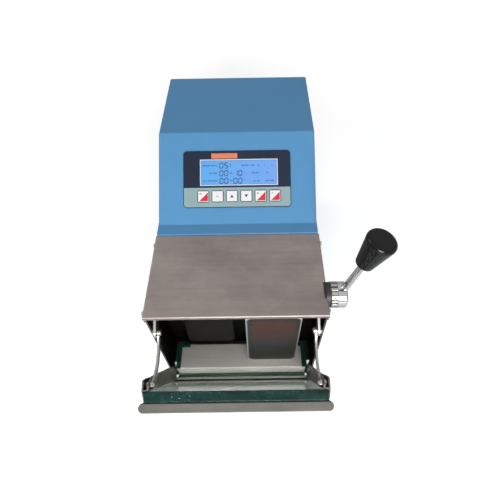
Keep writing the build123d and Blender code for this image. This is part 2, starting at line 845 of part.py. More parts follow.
# ---------------------------------------------------------------- paddles and drive
def make_paddle(x, back):
    """Pressed paddle, a shallow pan whose smooth face meets the bag."""
    front = paddle_front + back
    top = paddle_bottom + paddle_height
    pan = block(x - paddle_width / 2, x + paddle_width / 2, front, front + paddle_depth,
                paddle_bottom, top)
    pan = fillet(pan.edges().filter_by(Axis.Y), paddle_corner)
    pan = fillet(pan.faces().sort_by(Axis.Y)[0].edges(), paddle_bend)
    inner = block(x - paddle_width / 2 + paddle_sheet, x + paddle_width / 2 - paddle_sheet,
                  front + paddle_sheet, front + paddle_depth + past,
                  paddle_bottom + paddle_sheet, top - paddle_sheet)
    inner = fillet(inner.edges().filter_by(Axis.Y), paddle_corner - paddle_sheet)
    inner = fillet(inner.faces().sort_by(Axis.Y)[0].edges(), paddle_bend - paddle_sheet)
    return pan - inner


def yoke_centre(back):
    return crank_y - crank_throw + back


def make_push_yoke(x, back):
    """Slotted yoke that the crank roller drives, and the two push rods it carries."""
    middle = yoke_centre(back)
    front = middle - yoke_half_depth
    yoke = block(x - yoke_thick / 2, x + yoke_thick / 2, front, middle + yoke_half_depth,
                 crank_z - yoke_half_height, crank_z + yoke_half_height)
    slot = block(x - yoke_thick, x + yoke_thick, middle - yoke_slot_width / 2,
                 middle + yoke_slot_width / 2, crank_z - yoke_slot_height / 2,
                 crank_z + yoke_slot_height / 2)
    yoke -= fillet(slot.edges().filter_by(Axis.X), yoke_corner)
    rods = []
    for z in (crank_z - rod_spread, crank_z + rod_spread):
        rods.append(bar_y(x, paddle_front + back + paddle_sheet, front, z, push_rod_radius))
    return group(yoke, *rods)


def make_guide_blocks():
    blocks = []
    bush_outer = push_rod_radius + guide_bush_wall
    for x in (-paddle_centre_x, paddle_centre_x):
        body = block(x - guide_block_width / 2, x + guide_block_width / 2,
                     back_plate_rear, guide_block_rear,
                     crank_z - rod_spread - guide_block_margin,
                     crank_z + rod_spread + guide_block_margin)
        body = chamfer(body.edges().filter_by(Axis.Y), guide_block_chamfer)
        for z in (crank_z - rod_spread, crank_z + rod_spread):
            body -= bar_y(x, back_plate_front, guide_block_rear + past, z, bush_outer)
        blocks.append(body)
    return group(*blocks)


def make_guide_bushes():
    bushes = []
    bush_outer = push_rod_radius + guide_bush_wall
    for x in (-paddle_centre_x, paddle_centre_x):
        for z in (crank_z - rod_spread, crank_z + rod_spread):
            bush = bar_y(x, back_plate_rear, guide_block_rear, z, bush_outer)
            bushes.append(bush - bar_y(x, 0, crank_y, z, push_rod_radius + run_fit))
    return group(*bushes)


def make_crankshaft():
    """One-piece crank with two opposite throws, right forward and left back at rest."""
    inner_web = paddle_centre_x - yoke_thick / 2 - plate_gap
    outer_web = paddle_centre_x + yoke_thick / 2 + plate_gap
    crank = bar_x(-inner_web, inner_web, crank_y, crank_z, journal_radius)
    for side in (-1, 1):
        pin_y = crank_y - side * crank_throw
        for low in (inner_web - web_thick, outer_web):
            flat = lug(crank_y, crank_z, web_radius, pin_y, crank_z, web_pin_radius)
            start = side * low if side > 0 else -(low + web_thick)
            crank += plate_yz(flat, start, start + web_thick)
        ends = sorted((side * inner_web, side * outer_web))
        crank += bar_x(ends[0] - 1, ends[1] + 1, pin_y, crank_z, crank_pin_radius)
        ends = sorted((side * outer_web, side * journal_end))
        crank += bar_x(ends[0], ends[1], crank_y, crank_z, journal_radius)
    return crank


def make_crank_rollers():
    rollers = []
    for side in (-1, 1):
        pin_y = crank_y - side * crank_throw
        middle = side * paddle_centre_x
        ring = bar_x(middle - yoke_thick / 2, middle + yoke_thick / 2, pin_y, crank_z, roller_radius)
        rollers.append(ring - bar_x(-journal_end, journal_end, pin_y, crank_z, crank_pin_radius))
    return group(*rollers)


def grooved_pulley(y, z, radius, bore):
    """Pulley with shallow round-the-rim grooves for a ribbed belt."""
    pulley = bar_x(-pulley_half_width, pulley_half_width, y, z, radius)
    spacing = 2 * belt_half_width / groove_count
    for step in range(groove_count):
        middle = -belt_half_width + spacing * (step + 0.5)
        ring = bar_x(middle - spacing / 4, middle + spacing / 4, y, z, radius + past)
        ring -= bar_x(middle - spacing, middle + spacing, y, z, radius - groove_depth)
        pulley -= ring
    return pulley - bar_x(-pulley_half_width - past, pulley_half_width + past, y, z, bore)


def make_motor_pulley():
    start = -pulley_half_width - motor_shaft_overhang
    shaft = bar_x(start, motor_shaft_end, motor_y, motor_z, motor_shaft_radius)
    pulley = grooved_pulley(motor_y, motor_z, motor_pulley_radius, motor_shaft_radius)
    return group(shaft, pulley)


def make_belt():
    def loop(extra):
        return lug(crank_y, crank_z, crank_pulley_radius + extra,
                   motor_y, motor_z, motor_pulley_radius + extra)
    ring = loop(belt_gap + belt_thick) - loop(belt_gap)
    return plate_yz(ring, -belt_half_width, belt_half_width)


def make_bearings():
    rings = []
    for x in (-bearing_x, bearing_x):
        ring = bar_x(x - bearing_width / 2, x + bearing_width / 2, crank_y, crank_z, bearing_radius)
        bore = bar_x(-journal_end, journal_end, crank_y, crank_z, journal_radius + run_fit)
        rings.append(ring - bore)
    return group(*rings)


def make_bearing_blocks():
    blocks = []
    for x in (-bearing_x, bearing_x):
        body = block(x - bearing_block_width / 2, x + bearing_block_width / 2,
                     crank_y - bearing_block_depth / 2, crank_y + bearing_block_depth / 2,
                     base_top, crank_z + bearing_radius + bearing_block_margin)
        tops = body.edges().filter_by(Axis.X).group_by(Axis.Z)[-1]
        body = fillet(tops, bearing_block_round)
        body -= bar_x(x - bearing_width / 2, x + bearing_width / 2, crank_y, crank_z, bearing_radius)
        body -= bar_x(-journal_end, journal_end, crank_y, crank_z, bearing_radius - bearing_seat)
        blocks.append(body)
    return group(*blocks)


def make_motor():
    can = bar_x(motor_start, motor_start + motor_length, motor_y, motor_z, motor_radius)
    can = fillet(can.edges(), motor_edge_round)
    groove = Box(motor_length - 2 * motor_groove_margin, motor_groove, motor_groove)
    place = Pos(motor_start + motor_length / 2, motor_y, motor_z)
    for turn in range(motor_groove_count):
        can -= place * Rot(turn * 360 / motor_groove_count, 0, 0) * Pos(0, 0, motor_radius) * groove
    can += bar_x(motor_start - motor_boss_length, motor_start, motor_y, motor_z, motor_boss_radius)
    bore = bar_x(0, motor_shaft_end + past, motor_y, motor_z, motor_shaft_radius + run_fit)
    return can - bore


def make_motor_bracket():
    """Angle bracket: the motor bolts to the upright plate, the foot to the base."""
    high = motor_start
    low = high - bracket_plate
    plate = block(low, high, motor_y - bracket_half_depth, motor_y + bracket_half_depth,
                  base_top, base_top + bracket_height)
    plate -= bar_x(low - past, high + past, motor_y, motor_z, motor_boss_radius)
    foot = block(high, high + bracket_foot, motor_y - bracket_half_depth,
                 motor_y + bracket_half_depth, base_top, base_top + bracket_plate)
    return plate + foot


# ---------------------------------------------------------------- control panel
def key_places():
    middle = (key_count - 1) / 2
    return [window_shift + (i - middle) * key_pitch for i in range(key_count)]


def bezel_place(drop, low, high, x, width, height):
    """Box on the bezel: drop is from the bezel's top edge to the box's middle."""
    return slope_block(x, bezel_drop + drop, low, high, width, height)


def make_bezel():
    card = extrude(RectangleRounded(bezel_width, bezel_height, bezel_corner), bezel_thick)
    bezel = on_slope(0, bezel_drop + bezel_height / 2, 0, card)
    bezel -= bezel_place(window_drop, -past, bezel_thick + past, window_shift,
                         window_width, window_height)
    for x in key_places():
        side = key_size + 2 * key_gap
        bezel -= bezel_place(key_drop, -past, bezel_thick + past, x, side, side)
    return bezel


def make_window():
    return bezel_place(window_drop, 0, window_thick, window_shift, window_width - 2 * window_gap,
                       window_height - 2 * window_gap)


def make_lcd_module():
    width = window_width - 2 * window_lap + 2 * lcd_margin
    height = window_height - 2 * window_lap + 2 * lcd_margin
    return bezel_place(window_drop, -board_depth, -wall, window_shift, width, height)


def make_control_board():
    """Circuit board with its four posts and one small switch under each key."""
    drop = board_drop + board_height / 2
    board = bezel_place(drop, -board_depth - board_thick, -board_depth, 0, board_width, board_height)
    switch_top = -key_stem_reach - key_travel - switch_gap
    pieces = [board]
    post_x = board_width / 2 - 2 * board_post_radius
    post_y = board_height / 2 - 2 * board_post_radius
    post_length = board_depth - wall
    for x in (-post_x, post_x):
        for shift in (-post_y, post_y):
            post = Cylinder(board_post_radius, post_length)
            pieces.append(on_slope(x, bezel_drop + drop + shift, -wall - post_length / 2, post))
    for x in key_places():
        pieces.append(bezel_place(key_drop, -board_depth, switch_top, x, switch_size, switch_size))
    return group(*pieces)


def make_key(x):
    """Square key with a stem that reaches the switch on the board."""
    cap = bezel_place(key_drop, key_lift, key_lift + key_thick, x, key_size, key_size)
    length = key_stem_reach + key_lift
    stem = on_slope(x, bezel_drop + key_drop, key_lift - length / 2,
                    Cylinder(key_stem_radius, length))
    return cap + stem


# ---------------------------------------------------------------- rear panel pieces
def make_inlet():
    """Three-pin mains inlet, its mouth open to the rear."""
    rear = body_depth + inlet_flange
    half_w = inlet_width / 2 - sheet_gap
    half_h = inlet_height / 2 - sheet_gap
    body = block(inlet_x - half_w, inlet_x + half_w, rear - inlet_depth, body_depth,
                 inlet_z - half_h, inlet_z + half_h)
    half_w += inlet_flange_rim
    half_h += inlet_flange_rim
    body += block(inlet_x - half_w, inlet_x + half_w, body_depth, rear,
                  inlet_z - half_h, inlet_z + half_h)
    mouth = block(inlet_x - inlet_mouth_width / 2, inlet_x + inlet_mouth_width / 2,
                  rear - inlet_mouth_depth, rear + past,
                  inlet_z - inlet_mouth_height / 2, inlet_z + inlet_mouth_height / 2)
    body -= chamfer(mouth.edges().filter_by(Axis.Y).group_by(Axis.Z)[-1], inlet_mouth_chamfer)
    floor_y = rear - inlet_mouth_depth
    for pin_x, pin_z in inlet_pins:
        x = inlet_x + pin_x
        z = inlet_z + pin_z
        body += block(x - inlet_pin_half_width, x + inlet_pin_half_width,
                      floor_y - 1, floor_y + inlet_pin_length,
                      z - inlet_pin_half_height, z + inlet_pin_half_height)
    return body


def make_switch_frame():
    half_w = inlet_width / 2 - sheet_gap
    half_h = inlet_height / 2 - sheet_gap
    rear = body_depth + inlet_flange
    frame = block(inlet_x - half_w, inlet_x + half_w, body_depth - inlet_depth / 2, body_depth,
                  rocker_z - half_h, rocker_z + half_h)
    frame += block(inlet_x - half_w - inlet_flange_rim, inlet_x + half_w + inlet_flange_rim,
                   body_depth, rear,
                   rocker_z - half_h - inlet_flange_rim, rocker_z + half_h + inlet_flange_rim)
    cavity_w = rocker_half_width + rocker_side_gap
    cavity_h = rocker_half_height + rocker_end_gap
    frame -= block(inlet_x - cavity_w, inlet_x + cavity_w,
                   rocker_pivot_y() - rocker_depth - rocker_under_gap, rear + past,
                   rocker_z - cavity_h, rocker_z + cavity_h)
    pin = cavity_w + rocker_pin_reach
    return frame - bar_x(inlet_x - pin, inlet_x + pin, rocker_pivot_y(), rocker_z,
                         rocker_pivot_radius + run_fit)


def rocker_pivot_y():
    return body_depth + inlet_flange - rocker_pivot_depth


def make_rocker():
    """Rocker with a hollowed face and a pivot pin, tipped to its off side."""
    face = rocker_pivot_y() + rocker_pivot_depth + rocker_proud
    deep = rocker_pivot_y() - rocker_depth + rocker_under_gap
    narrow = rocker_half_height - rocker_taper
    side = outline((deep, rocker_z - narrow), (face, rocker_z - rocker_half_height),
                   (face - rocker_dip, rocker_z), (face, rocker_z + rocker_half_height),
                   (deep, rocker_z + narrow))
    rocker = plate_yz(side, inlet_x - rocker_half_width, inlet_x + rocker_half_width)
    pin = rocker_half_width + rocker_pin_reach
    rocker += bar_x(inlet_x - pin, inlet_x + pin, rocker_pivot_y(), rocker_z, rocker_pivot_radius)
    tip = Pos(0, rocker_pivot_y(), rocker_z) * Rot(rocker_tilt, 0, 0)
    return tip * Pos(0, -rocker_pivot_y(), -rocker_z) * rocker


def make_power_supply():
    """Power board on four posts with its transformer, two capacitors and a heat sink."""
    x0 = -inner_half + power_board_side_gap
    x1 = x0 + power_board_width
    y1 = body_depth - rear_sheet - power_board_rear_gap
    y0 = y1 - power_board_length
    low = base_top + power_board_lift
    high = low + board_thick
    pieces = [block(x0, x1, y0, y1, low, high)]
    for x in (x0 + power_post_inset, x1 - power_post_inset):
        for y in (y0 + power_post_inset, y1 - power_post_inset):
            post = Cylinder(power_post_radius, power_board_lift)
            pieces.append(Pos(x, y, (base_top + low) / 2) * post)
    part_y0 = y0 + power_part_y
    part_y1 = part_y0 + transformer_length
    core_x = x0 + transformer_x
    pieces.append(block(core_x, core_x + transformer_width, part_y0, part_y1,
                        high, high + transformer_height))
    for x in capacitor_places:
        can = Cylinder(capacitor_radius, capacitor_height)
        pieces.append(Pos(x0 + x, y1 - capacitor_rear_gap, high + capacitor_height / 2) * can)
    sink_x = x1 - heat_sink_edge_gap
    pieces.append(block(sink_x - heat_sink_sheet, sink_x, part_y0, part_y1,
                        high, high + heat_sink_height))
    return group(*pieces)


# ---------------------------------------------------------------- all the nodes
parts["base_plate"] = make_base()
parts["rubber_feet"] = make_feet()
parts["chamber_side_left"] = make_chamber_side(-1)
parts["chamber_side_right"] = make_chamber_side(1)
parts["top_cover"] = make_cover()
parts["housing_screws"] = make_housing_screws()
parts["rear_housing"] = make_housing()
parts["rear_panel"] = make_rear_panel()
parts["chamber_back_plate"] = make_back_plate()
parts["floor_tray"] = make_tray()
parts["tray_trim"] = make_tray_trim()
parts["front_sill"] = make_sill()

parts["door_glass"] = make_glass()
right_bracket = make_door_bracket()
parts["door_bracket_right"] = right_bracket
parts["door_bracket_left"] = mirror(right_bracket, about=Plane.YZ)
parts["door_rail"] = make_rail()
parts["door_gasket"] = make_gasket()
parts["door_seal"] = make_door_seal()
parts["door_handle_bar"] = make_handle_bar()
parts["hinge_pins"] = make_hinge_pins()

parts["lever_bushes"] = make_lever_bushes()
parts["lever_shaft"] = make_lever_shaft()
parts["crank_arms"] = make_crank_arms()
parts["arm_screws"] = make_arm_screws()
parts["clamp_collar"] = make_collar()
parts["lever_hub"] = make_hub()
parts["lever_rod"] = make_lever_rod()
parts["lever_knob"] = make_knob()
right_link = make_link()
right_nut = make_ear_nut()
parts["link_right"] = right_link
parts["nylon_nut"] = right_nut
parts["link_left"] = mirror(group(right_link, right_nut), about=Plane.YZ)

parts["paddle_right"] = make_paddle(paddle_centre_x, 0)
parts["paddle_left"] = make_paddle(-paddle_centre_x, 2 * crank_throw)
parts["push_yoke_right"] = make_push_yoke(paddle_centre_x, 0)
parts["push_yoke_left"] = make_push_yoke(-paddle_centre_x, 2 * crank_throw)
parts["guide_blocks"] = make_guide_blocks()
parts["guide_bushes"] = make_guide_bushes()
parts["crankshaft"] = make_crankshaft()
parts["crank_rollers"] = make_crank_rollers()
parts["crank_pulley"] = grooved_pulley(crank_y, crank_z, crank_pulley_radius, journal_radius)
parts["shaft_bearings"] = make_bearings()
parts["bearing_blocks"] = make_bearing_blocks()
parts["drive_belt"] = make_belt()
parts["motor_pulley"] = make_motor_pulley()
parts["motor"] = make_motor()
parts["motor_bracket"] = make_motor_bracket()

parts["display_bezel"] = make_bezel()
parts["display_window"] = make_window()
parts["lcd_module"] = make_lcd_module()
parts["control_board"] = make_control_board()
for number, place in enumerate(key_places(), start=1):
    parts[f"key_{number}"] = make_key(place)

parts["mains_inlet"] = make_inlet()
parts["switch_frame"] = make_switch_frame()
parts["power_rocker"] = make_rocker()
parts["power_supply"] = make_power_supply()

# ---------------------------------------------------------------- move to the footprint's middle
whole = Compound([solid for shape in parts.values() for solid in shape.solids()]).bounding_box()
shift = Vector(-(whole.min.X + whole.max.X) / 2, -(whole.min.Y + whole.max.Y) / 2, -whole.min.Z)

os.makedirs("parts", exist_ok=True)
for name, shape in parts.items():
    export_step(Pos(shift) * shape, f"parts/{name}.step")

# ---------------------------------------------------------------- places that a joint turns about
joint_points = {
    "door_hinge": (0, hinge_y, hinge_z),
    "lever_turn": (0, shaft_y, shaft_z),
    "link_pivot": (0, arm_pivot_y, arm_pivot_z),
    "ear_pivot": (0, ear_pivot_y, ear_pivot_z),
    "crankshaft_turn": (0, crank_y, crank_z),
    "motor_turn": (0, motor_y, motor_z),
    "rocker_tip": (inlet_x, rocker_pivot_y(), rocker_z),
}
size = whole.size
print(f"size {size.X:.2f} x {size.Y:.2f} x {size.Z:.2f}, {len(parts)} nodes, shift {shift}")
for name, point in joint_points.items():
    moved = Vector(*point) + shift
    print(f"{name}: {moved.X:.3f} {moved.Y:.3f} {moved.Z:.3f}")
print(f"panel normal 0 {slope.z_dir.Y:.5f} {slope.z_dir.Z:.5f}")
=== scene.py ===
"""Looks of a bench-top paddle blender, built round its fixed CAD frame.

The drawing's sizes are in millimetres: X = 0 is the middle of the body, Y = 0 its front and
Z = 0 the bench.  A Drawing turns them into the frame's metres.
"""

import logging
import math
from dataclasses import dataclass, field
from enum import Enum
from typing import Iterable, Sequence

import bmesh
import bpy
from mathutils import Matrix, Vector


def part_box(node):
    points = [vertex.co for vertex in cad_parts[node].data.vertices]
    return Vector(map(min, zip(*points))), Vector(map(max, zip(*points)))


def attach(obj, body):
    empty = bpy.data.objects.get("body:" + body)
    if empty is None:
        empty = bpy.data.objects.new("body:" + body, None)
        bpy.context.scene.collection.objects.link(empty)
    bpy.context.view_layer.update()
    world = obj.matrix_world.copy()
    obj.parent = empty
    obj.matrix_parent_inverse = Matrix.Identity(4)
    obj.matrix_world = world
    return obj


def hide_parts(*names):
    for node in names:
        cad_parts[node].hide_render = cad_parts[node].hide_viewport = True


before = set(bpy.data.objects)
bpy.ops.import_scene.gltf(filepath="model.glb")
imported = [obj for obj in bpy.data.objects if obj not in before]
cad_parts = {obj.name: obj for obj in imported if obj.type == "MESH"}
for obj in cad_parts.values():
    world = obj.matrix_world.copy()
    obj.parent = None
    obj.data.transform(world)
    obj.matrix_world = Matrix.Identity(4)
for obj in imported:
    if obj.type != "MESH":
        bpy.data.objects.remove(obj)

MM = 0.001
WELD = 1e-7              # metres within which corners of a new mesh are one
SHEET_STEP = 1e-4        # least step between two rings of a turned head
log = logging.getLogger("paddle_blender")

Colour = tuple[float, float, float]
DUST: Colour = (0.55, 0.54, 0.52)
WORN_FILM: Colour = (0.30, 0.34, 0.36)
Socket = bpy.types.NodeSocket
Material = bpy.types.Material
Piece = bpy.types.Object
Outline = Sequence[tuple[float, float]]


# ---------------------------------------------------------------- placing
class Drawing:
    """Places the drawing's millimetres in the frame's metres."""

    def __init__(self) -> None:
        """Find the drawing's origin from the steel cover, which spans the whole width."""
        low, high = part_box("top_cover")
        self.origin = Vector(((low.x + high.x) / 2, low.y, 0.0))

    def at(self, x: float, y: float, z: float) -> Vector:
        """Return a point of the drawing in the frame's metres."""
        return self.origin + Vector((x, y, z)) * MM

    def matrix(self) -> Matrix:
        """Return the transform from the drawing to the frame."""
        return Matrix.Translation(self.origin) @ Matrix.Scale(MM, 4)


@dataclass(frozen=True)
class PanelPlane:
    """The sloping control panel as a flat sheet: x to the right, y up the slope, z outward."""

    crease_y: float = 251.0
    crease_z: float = 283.0
    foot_y: float = 142.0
    foot_z: float = 212.0

    def matrix(self) -> Matrix:
        """Return the transform from the flat sheet to the drawing, origin on the crease.

        Returns:
            The transform, in millimetres.
        """
        up = Vector((0.0, self.crease_y - self.foot_y, self.crease_z - self.foot_z)).normalized()
        out = Vector((1.0, 0.0, 0.0)).cross(up)
        turn = Matrix((Vector((1.0, 0.0, 0.0)), up, out)).transposed().to_4x4()
        return Matrix.Translation((0.0, self.crease_y, self.crease_z)) @ turn


# ---------------------------------------------------------------- node trees
def tidy_socket(owner: bpy.types.Node, name: str) -> Socket:
    """Find a node's input by name, taking the first that is in use.

    Args:
        owner: The node to look through.
        name: The socket's shown name.

    Returns:
        The matching input socket.
    """
    for socket in owner.inputs:
        if socket.name == name and socket.enabled:
            return socket
    return owner.inputs[name]


class Wiring:
    """A node tree that is being wired, with short calls for nodes and their links."""

    def __init__(self, tree: bpy.types.NodeTree) -> None:
        """Take the tree to wire, empty or started."""
        self.tree = tree

    def node(self, kind: str, settings: dict[str, object] | None = None,
             **inputs: object) -> bpy.types.Node:
        """Add a node and feed its inputs.

        Args:
            kind: The node's type name.
            settings: Attributes to set on the node before its inputs.
            **inputs: Input names, with spaces as underscores, and what feeds them.

        Returns:
            The new node.
        """
        made = self.tree.nodes.new(kind)
        for name, value in (settings or {}).items():
            setattr(made, name, value)
        for name, value in inputs.items():
            self.feed(tidy_socket(made, name.replace("_", " ")), value)
        return made

    def feed(self, socket: Socket, value: object) -> None:
        """Link a socket to another, or set its own value.

        Args:
            socket: The input to feed.
            value: A socket, or the value itself.
        """
        if isinstance(value, bpy.types.NodeSocket):
            self.tree.links.new(value, socket)
        elif isinstance(value, tuple) and len(value) == 3 and socket.type == "RGBA":
            socket.default_value = (*value, 1.0)
        else:
            socket.default_value = value

    def maths(self, operation: str, first: object, second: object = 0.0,
              third: object = 0.0) -> Socket:
        """Return the result of a Math node on up to three numbers.

        Args:
            operation: The Math node's operation.
            first: The first input.
            second: The second input.
            third: The third input.

        Returns:
            The result's socket.
        """
        made = self.tree.nodes.new("ShaderNodeMath")
        made.operation = operation
        for socket, value in zip(made.inputs, (first, second, third)):
            self.feed(socket, value)
        return made.outputs[0]

    def spread(self, value: object, low: float, high: float,
               to_low: float = 0.0, to_high: float = 1.0) -> Socket:
        """Return a number moved from one range to another, held inside the new range.

        Args:
            value: A socket, or the value itself.
            low: The value's low end.
            high: The value's high end.
            to_low: What the low end becomes.
            to_high: What the high end becomes.

        Returns:
            The moved number's socket.
        """
        made = self.node("ShaderNodeMapRange", {"clamp": True}, Value=value, From_Min=low,
                         From_Max=high, To_Min=to_low, To_Max=to_high)
        return made.outputs[0]

    def blend(self, amount: object, first: object, second: object) -> Socket:
        """Return two colours mixed by a mask.

        Args:
            amount: The mask, 0 for the first colour and 1 for the second.
            first: The first input.
            second: The second input.

        Returns:
            The mixed colour's socket.
        """
        made = self.node("ShaderNodeMix", {"data_type": "RGBA"}, Factor=amount)
        self.feed(made.inputs[6], first)
        self.feed(made.inputs[7], second)
        return made.outputs[2]

    def place(self) -> Socket:
        """Return the Object coordinates of the surface."""
        return self.node("ShaderNodeTexCoord").outputs["Object"]

    def mapped(self, vector: Socket, scale: Sequence[float] = (1.0, 1.0, 1.0),
               offset: Sequence[float] = (0.0, 0.0, 0.0),
               turn: Sequence[float] = (0.0, 0.0, 0.0)) -> Socket:
        """Return coordinates turned, moved and scaled by a Mapping node.

        Args:
            vector: The coordinates to use.
            scale: The scale.
            offset: The move.
            turn: The turn about each axis.

        Returns:
            The new coordinates' socket.
        """
        made = self.node("ShaderNodeMapping", Vector=vector, Scale=tuple(scale),
                         Location=tuple(offset), Rotation=tuple(turn))
        return made.outputs[0]

    def noise(self, vector: Socket, scale: object, detail: float = 2.0,
              rough: float = 0.5) -> Socket:
        """Return a noise value over the surface.

        Args:
            vector: The coordinates to use.
            scale: The scale.
            detail: How many octaves the noise has.
            rough: How strong the finer octaves are.

        Returns:
            The noise value's socket, 0 to 1.
        """
        made = self.node("ShaderNodeTexNoise", Vector=vector, Scale=scale, Detail=detail,
                         Roughness=rough)
        return made.outputs[0]

    def effect(self, group: bpy.types.NodeTree, **inputs: object) -> bpy.types.Node:
        """Place a shader node group with its own values and return its node.

        Args:
            group: The node group to place.
            **inputs: Input names, with spaces as underscores.

        Returns:
            The group's node.
        """
        made = self.tree.nodes.new("ShaderNodeGroup")
        made.node_tree = group
        for name, value in inputs.items():
            self.feed(made.inputs[name.replace("_", " ")], value)
        return made


def new_group(name: str, takes: dict[str, float],
              gives: dict[str, str]) -> tuple[Wiring, bpy.types.Node, bpy.types.Node]:
    """Start a shader node group.

    Args:
        name: The group's name.
        takes: Number inputs with their usual values.
        gives: Output names with their socket types.

    Returns:
        The group's wiring, its input node and its output node.
    """
    tree = bpy.data.node_groups.new(name, "ShaderNodeTree")
    for title, usual in takes.items():
        tree.interface.new_socket(title, in_out="INPUT",
                                  socket_type="NodeSocketFloat").default_value = usual
    for title, kind in gives.items():
        tree.interface.new_socket(title, in_out="OUTPUT", socket_type=kind)
    wires = Wiring(tree)
    return wires, wires.node("NodeGroupInput"), wires.node("NodeGroupOutput")


class GrainWay(Enum):
    """Which way a steel sheet was brushed, as a noise stretch along X, Y and Z."""

    ALONG_X = (1.0, 45.0, 45.0)
    ALONG_Y = (45.0, 1.0, 45.0)
    ALONG_Z = (45.0, 45.0, 1.0)
    TURNED_ABOUT_X = (60.0, 6.0, 6.0)


class SurfaceEffects:
    """The shader node groups that several finishes share."""

    def __init__(self) -> None:
        """Build each group once."""
        self.wear_and_highlight = self._rubbed_and_highlit_edges()
        self.smudge = self._smudges()
        self.grain = self._fine_grain()
        self.brushed = {way: self._brushed(way) for way in GrainWay}

    @staticmethod
    def _rubbed_and_highlit_edges() -> bpy.types.NodeTree:
        """Build the mask of outer edges, for rubbed wear and painted highlight, with a normal that
        rounds them.

        Returns:
            The group, with Mask and Normal.
        """
        wires, takes, gives = new_group(
            "rubbed_and_highlit_edges", {"Radius": 0.0006, "Breakup": 0.5, "Scale": 90.0},
            {"Mask": "NodeSocketFloat", "Normal": "NodeSocketVector"})
        rounded = wires.node("ShaderNodeBevel", {"samples": 4}, Radius=takes.outputs["Radius"])
        geometry = wires.node("ShaderNodeNewGeometry")
        facing = wires.node("ShaderNodeVectorMath", {"operation": "DOT_PRODUCT"})
        wires.feed(facing.inputs[0], rounded.outputs[0])
        wires.feed(facing.inputs[1], geometry.outputs["True Normal"])
        edge = wires.spread(facing.outputs["Value"], 0.985, 0.86)
        patches = wires.noise(wires.place(), takes.outputs["Scale"], 4.0, 0.6)
        patches = wires.spread(patches, 0.38, 0.62)
        kept = wires.maths("SUBTRACT", 1.0, takes.outputs["Breakup"])
        patches = wires.maths("MULTIPLY_ADD", patches, takes.outputs["Breakup"], kept)
        wires.feed(gives.inputs["Mask"], wires.maths("MULTIPLY", edge, patches))
        wires.feed(gives.inputs["Normal"], rounded.outputs[0])
        return wires.tree

    @staticmethod
    def _smudges() -> bpy.types.NodeTree:
        """Build soft cloudy stains with a few wiped streaks.

        Returns:
            The group, with a broad Mask and a Fine one.
        """
        wires, takes, gives = new_group("smudges", {"Scale": 14.0, "Stretch": 2.0},
                                        {"Mask": "NodeSocketFloat", "Fine": "NodeSocketFloat"})
        place = wires.place()
        stretch = wires.node("ShaderNodeCombineXYZ", X=1.0, Y=takes.outputs["Stretch"], Z=1.0)
        wiped = wires.node("ShaderNodeVectorMath", {"operation": "MULTIPLY"})
        wires.feed(wiped.inputs[0], place)
        wires.feed(wiped.inputs[1], stretch.outputs[0])
        clouds = wires.noise(wiped.outputs[0], takes.outputs["Scale"], 5.0, 0.62)
        finer = wires.maths("MULTIPLY", takes.outputs["Scale"], 5.0)
        wires.feed(gives.inputs["Mask"], wires.spread(clouds, 0.36, 0.66))
        wires.feed(gives.inputs["Fine"],
                   wires.spread(wires.noise(place, finer, 4.0, 0.6), 0.34, 0.68))
        return wires.tree

    @staticmethod
    def _fine_grain() -> bpy.types.NodeTree:
        """Build a pebbled height, for sprayed paint, moulded plastic and rubber.

        Returns:
            The group, with Height.
        """
        wires, takes, gives = new_group("fine_grain", {"Scale": 900.0, "Breadth": 0.5},
                                        {"Height": "NodeSocketFloat"})
        place = wires.place()
        small = wires.noise(place, takes.outputs["Scale"], 2.0, 0.5)
        broad = wires.noise(place, wires.maths("MULTIPLY", takes.outputs["Scale"], 0.22), 1.0)
        scaled = wires.maths("MULTIPLY", broad, takes.outputs["Breadth"])
        wires.feed(gives.inputs["Height"], wires.maths("ADD", small, scaled))
        return wires.tree

    @staticmethod
    def _brushed(way: GrainWay) -> bpy.types.NodeTree:
        """Build brush lines that run one way.

        Args:
            way: The direction of the lines.

        Returns:
            A group that gives fine lines and broad bands, both 0 to 1.
        """
        wires, takes, gives = new_group("brushed_" + way.name.lower(), {"Scale": 40.0},
                                        {"Lines": "NodeSocketFloat", "Bands": "NodeSocketFloat"})
        stretched = wires.mapped(wires.place(), way.value)
        lines = wires.noise(stretched, takes.outputs["Scale"], 3.0, 0.7)
        bands = wires.noise(stretched, wires.maths("MULTIPLY", takes.outputs["Scale"], 0.16), 2.0)
        wires.feed(gives.inputs["Lines"], wires.spread(lines, 0.3, 0.7))
        wires.feed(gives.inputs["Bands"], wires.spread(bands, 0.34, 0.66))
        return wires.tree


# ---------------------------------------------------------------- finishes
def new_material(name: str) -> tuple[Material, Wiring, bpy.types.Node]:
    """Start a material.

    Args:
        name: The material's name.

    Returns:
        The material, its wiring and its Principled shader node.
    """
    material = bpy.data.materials.new(name)
    material.use_nodes = True
    wires = Wiring(material.node_tree)
    return material, wires, material.node_tree.nodes["Principled BSDF"]


def darker(colour: Colour, share: float) -> Colour:
    """Return a colour scaled towards black or, above 1, towards white."""
    red, green, blue = (min(1.0, part * share) for part in colour)
    return red, green, blue


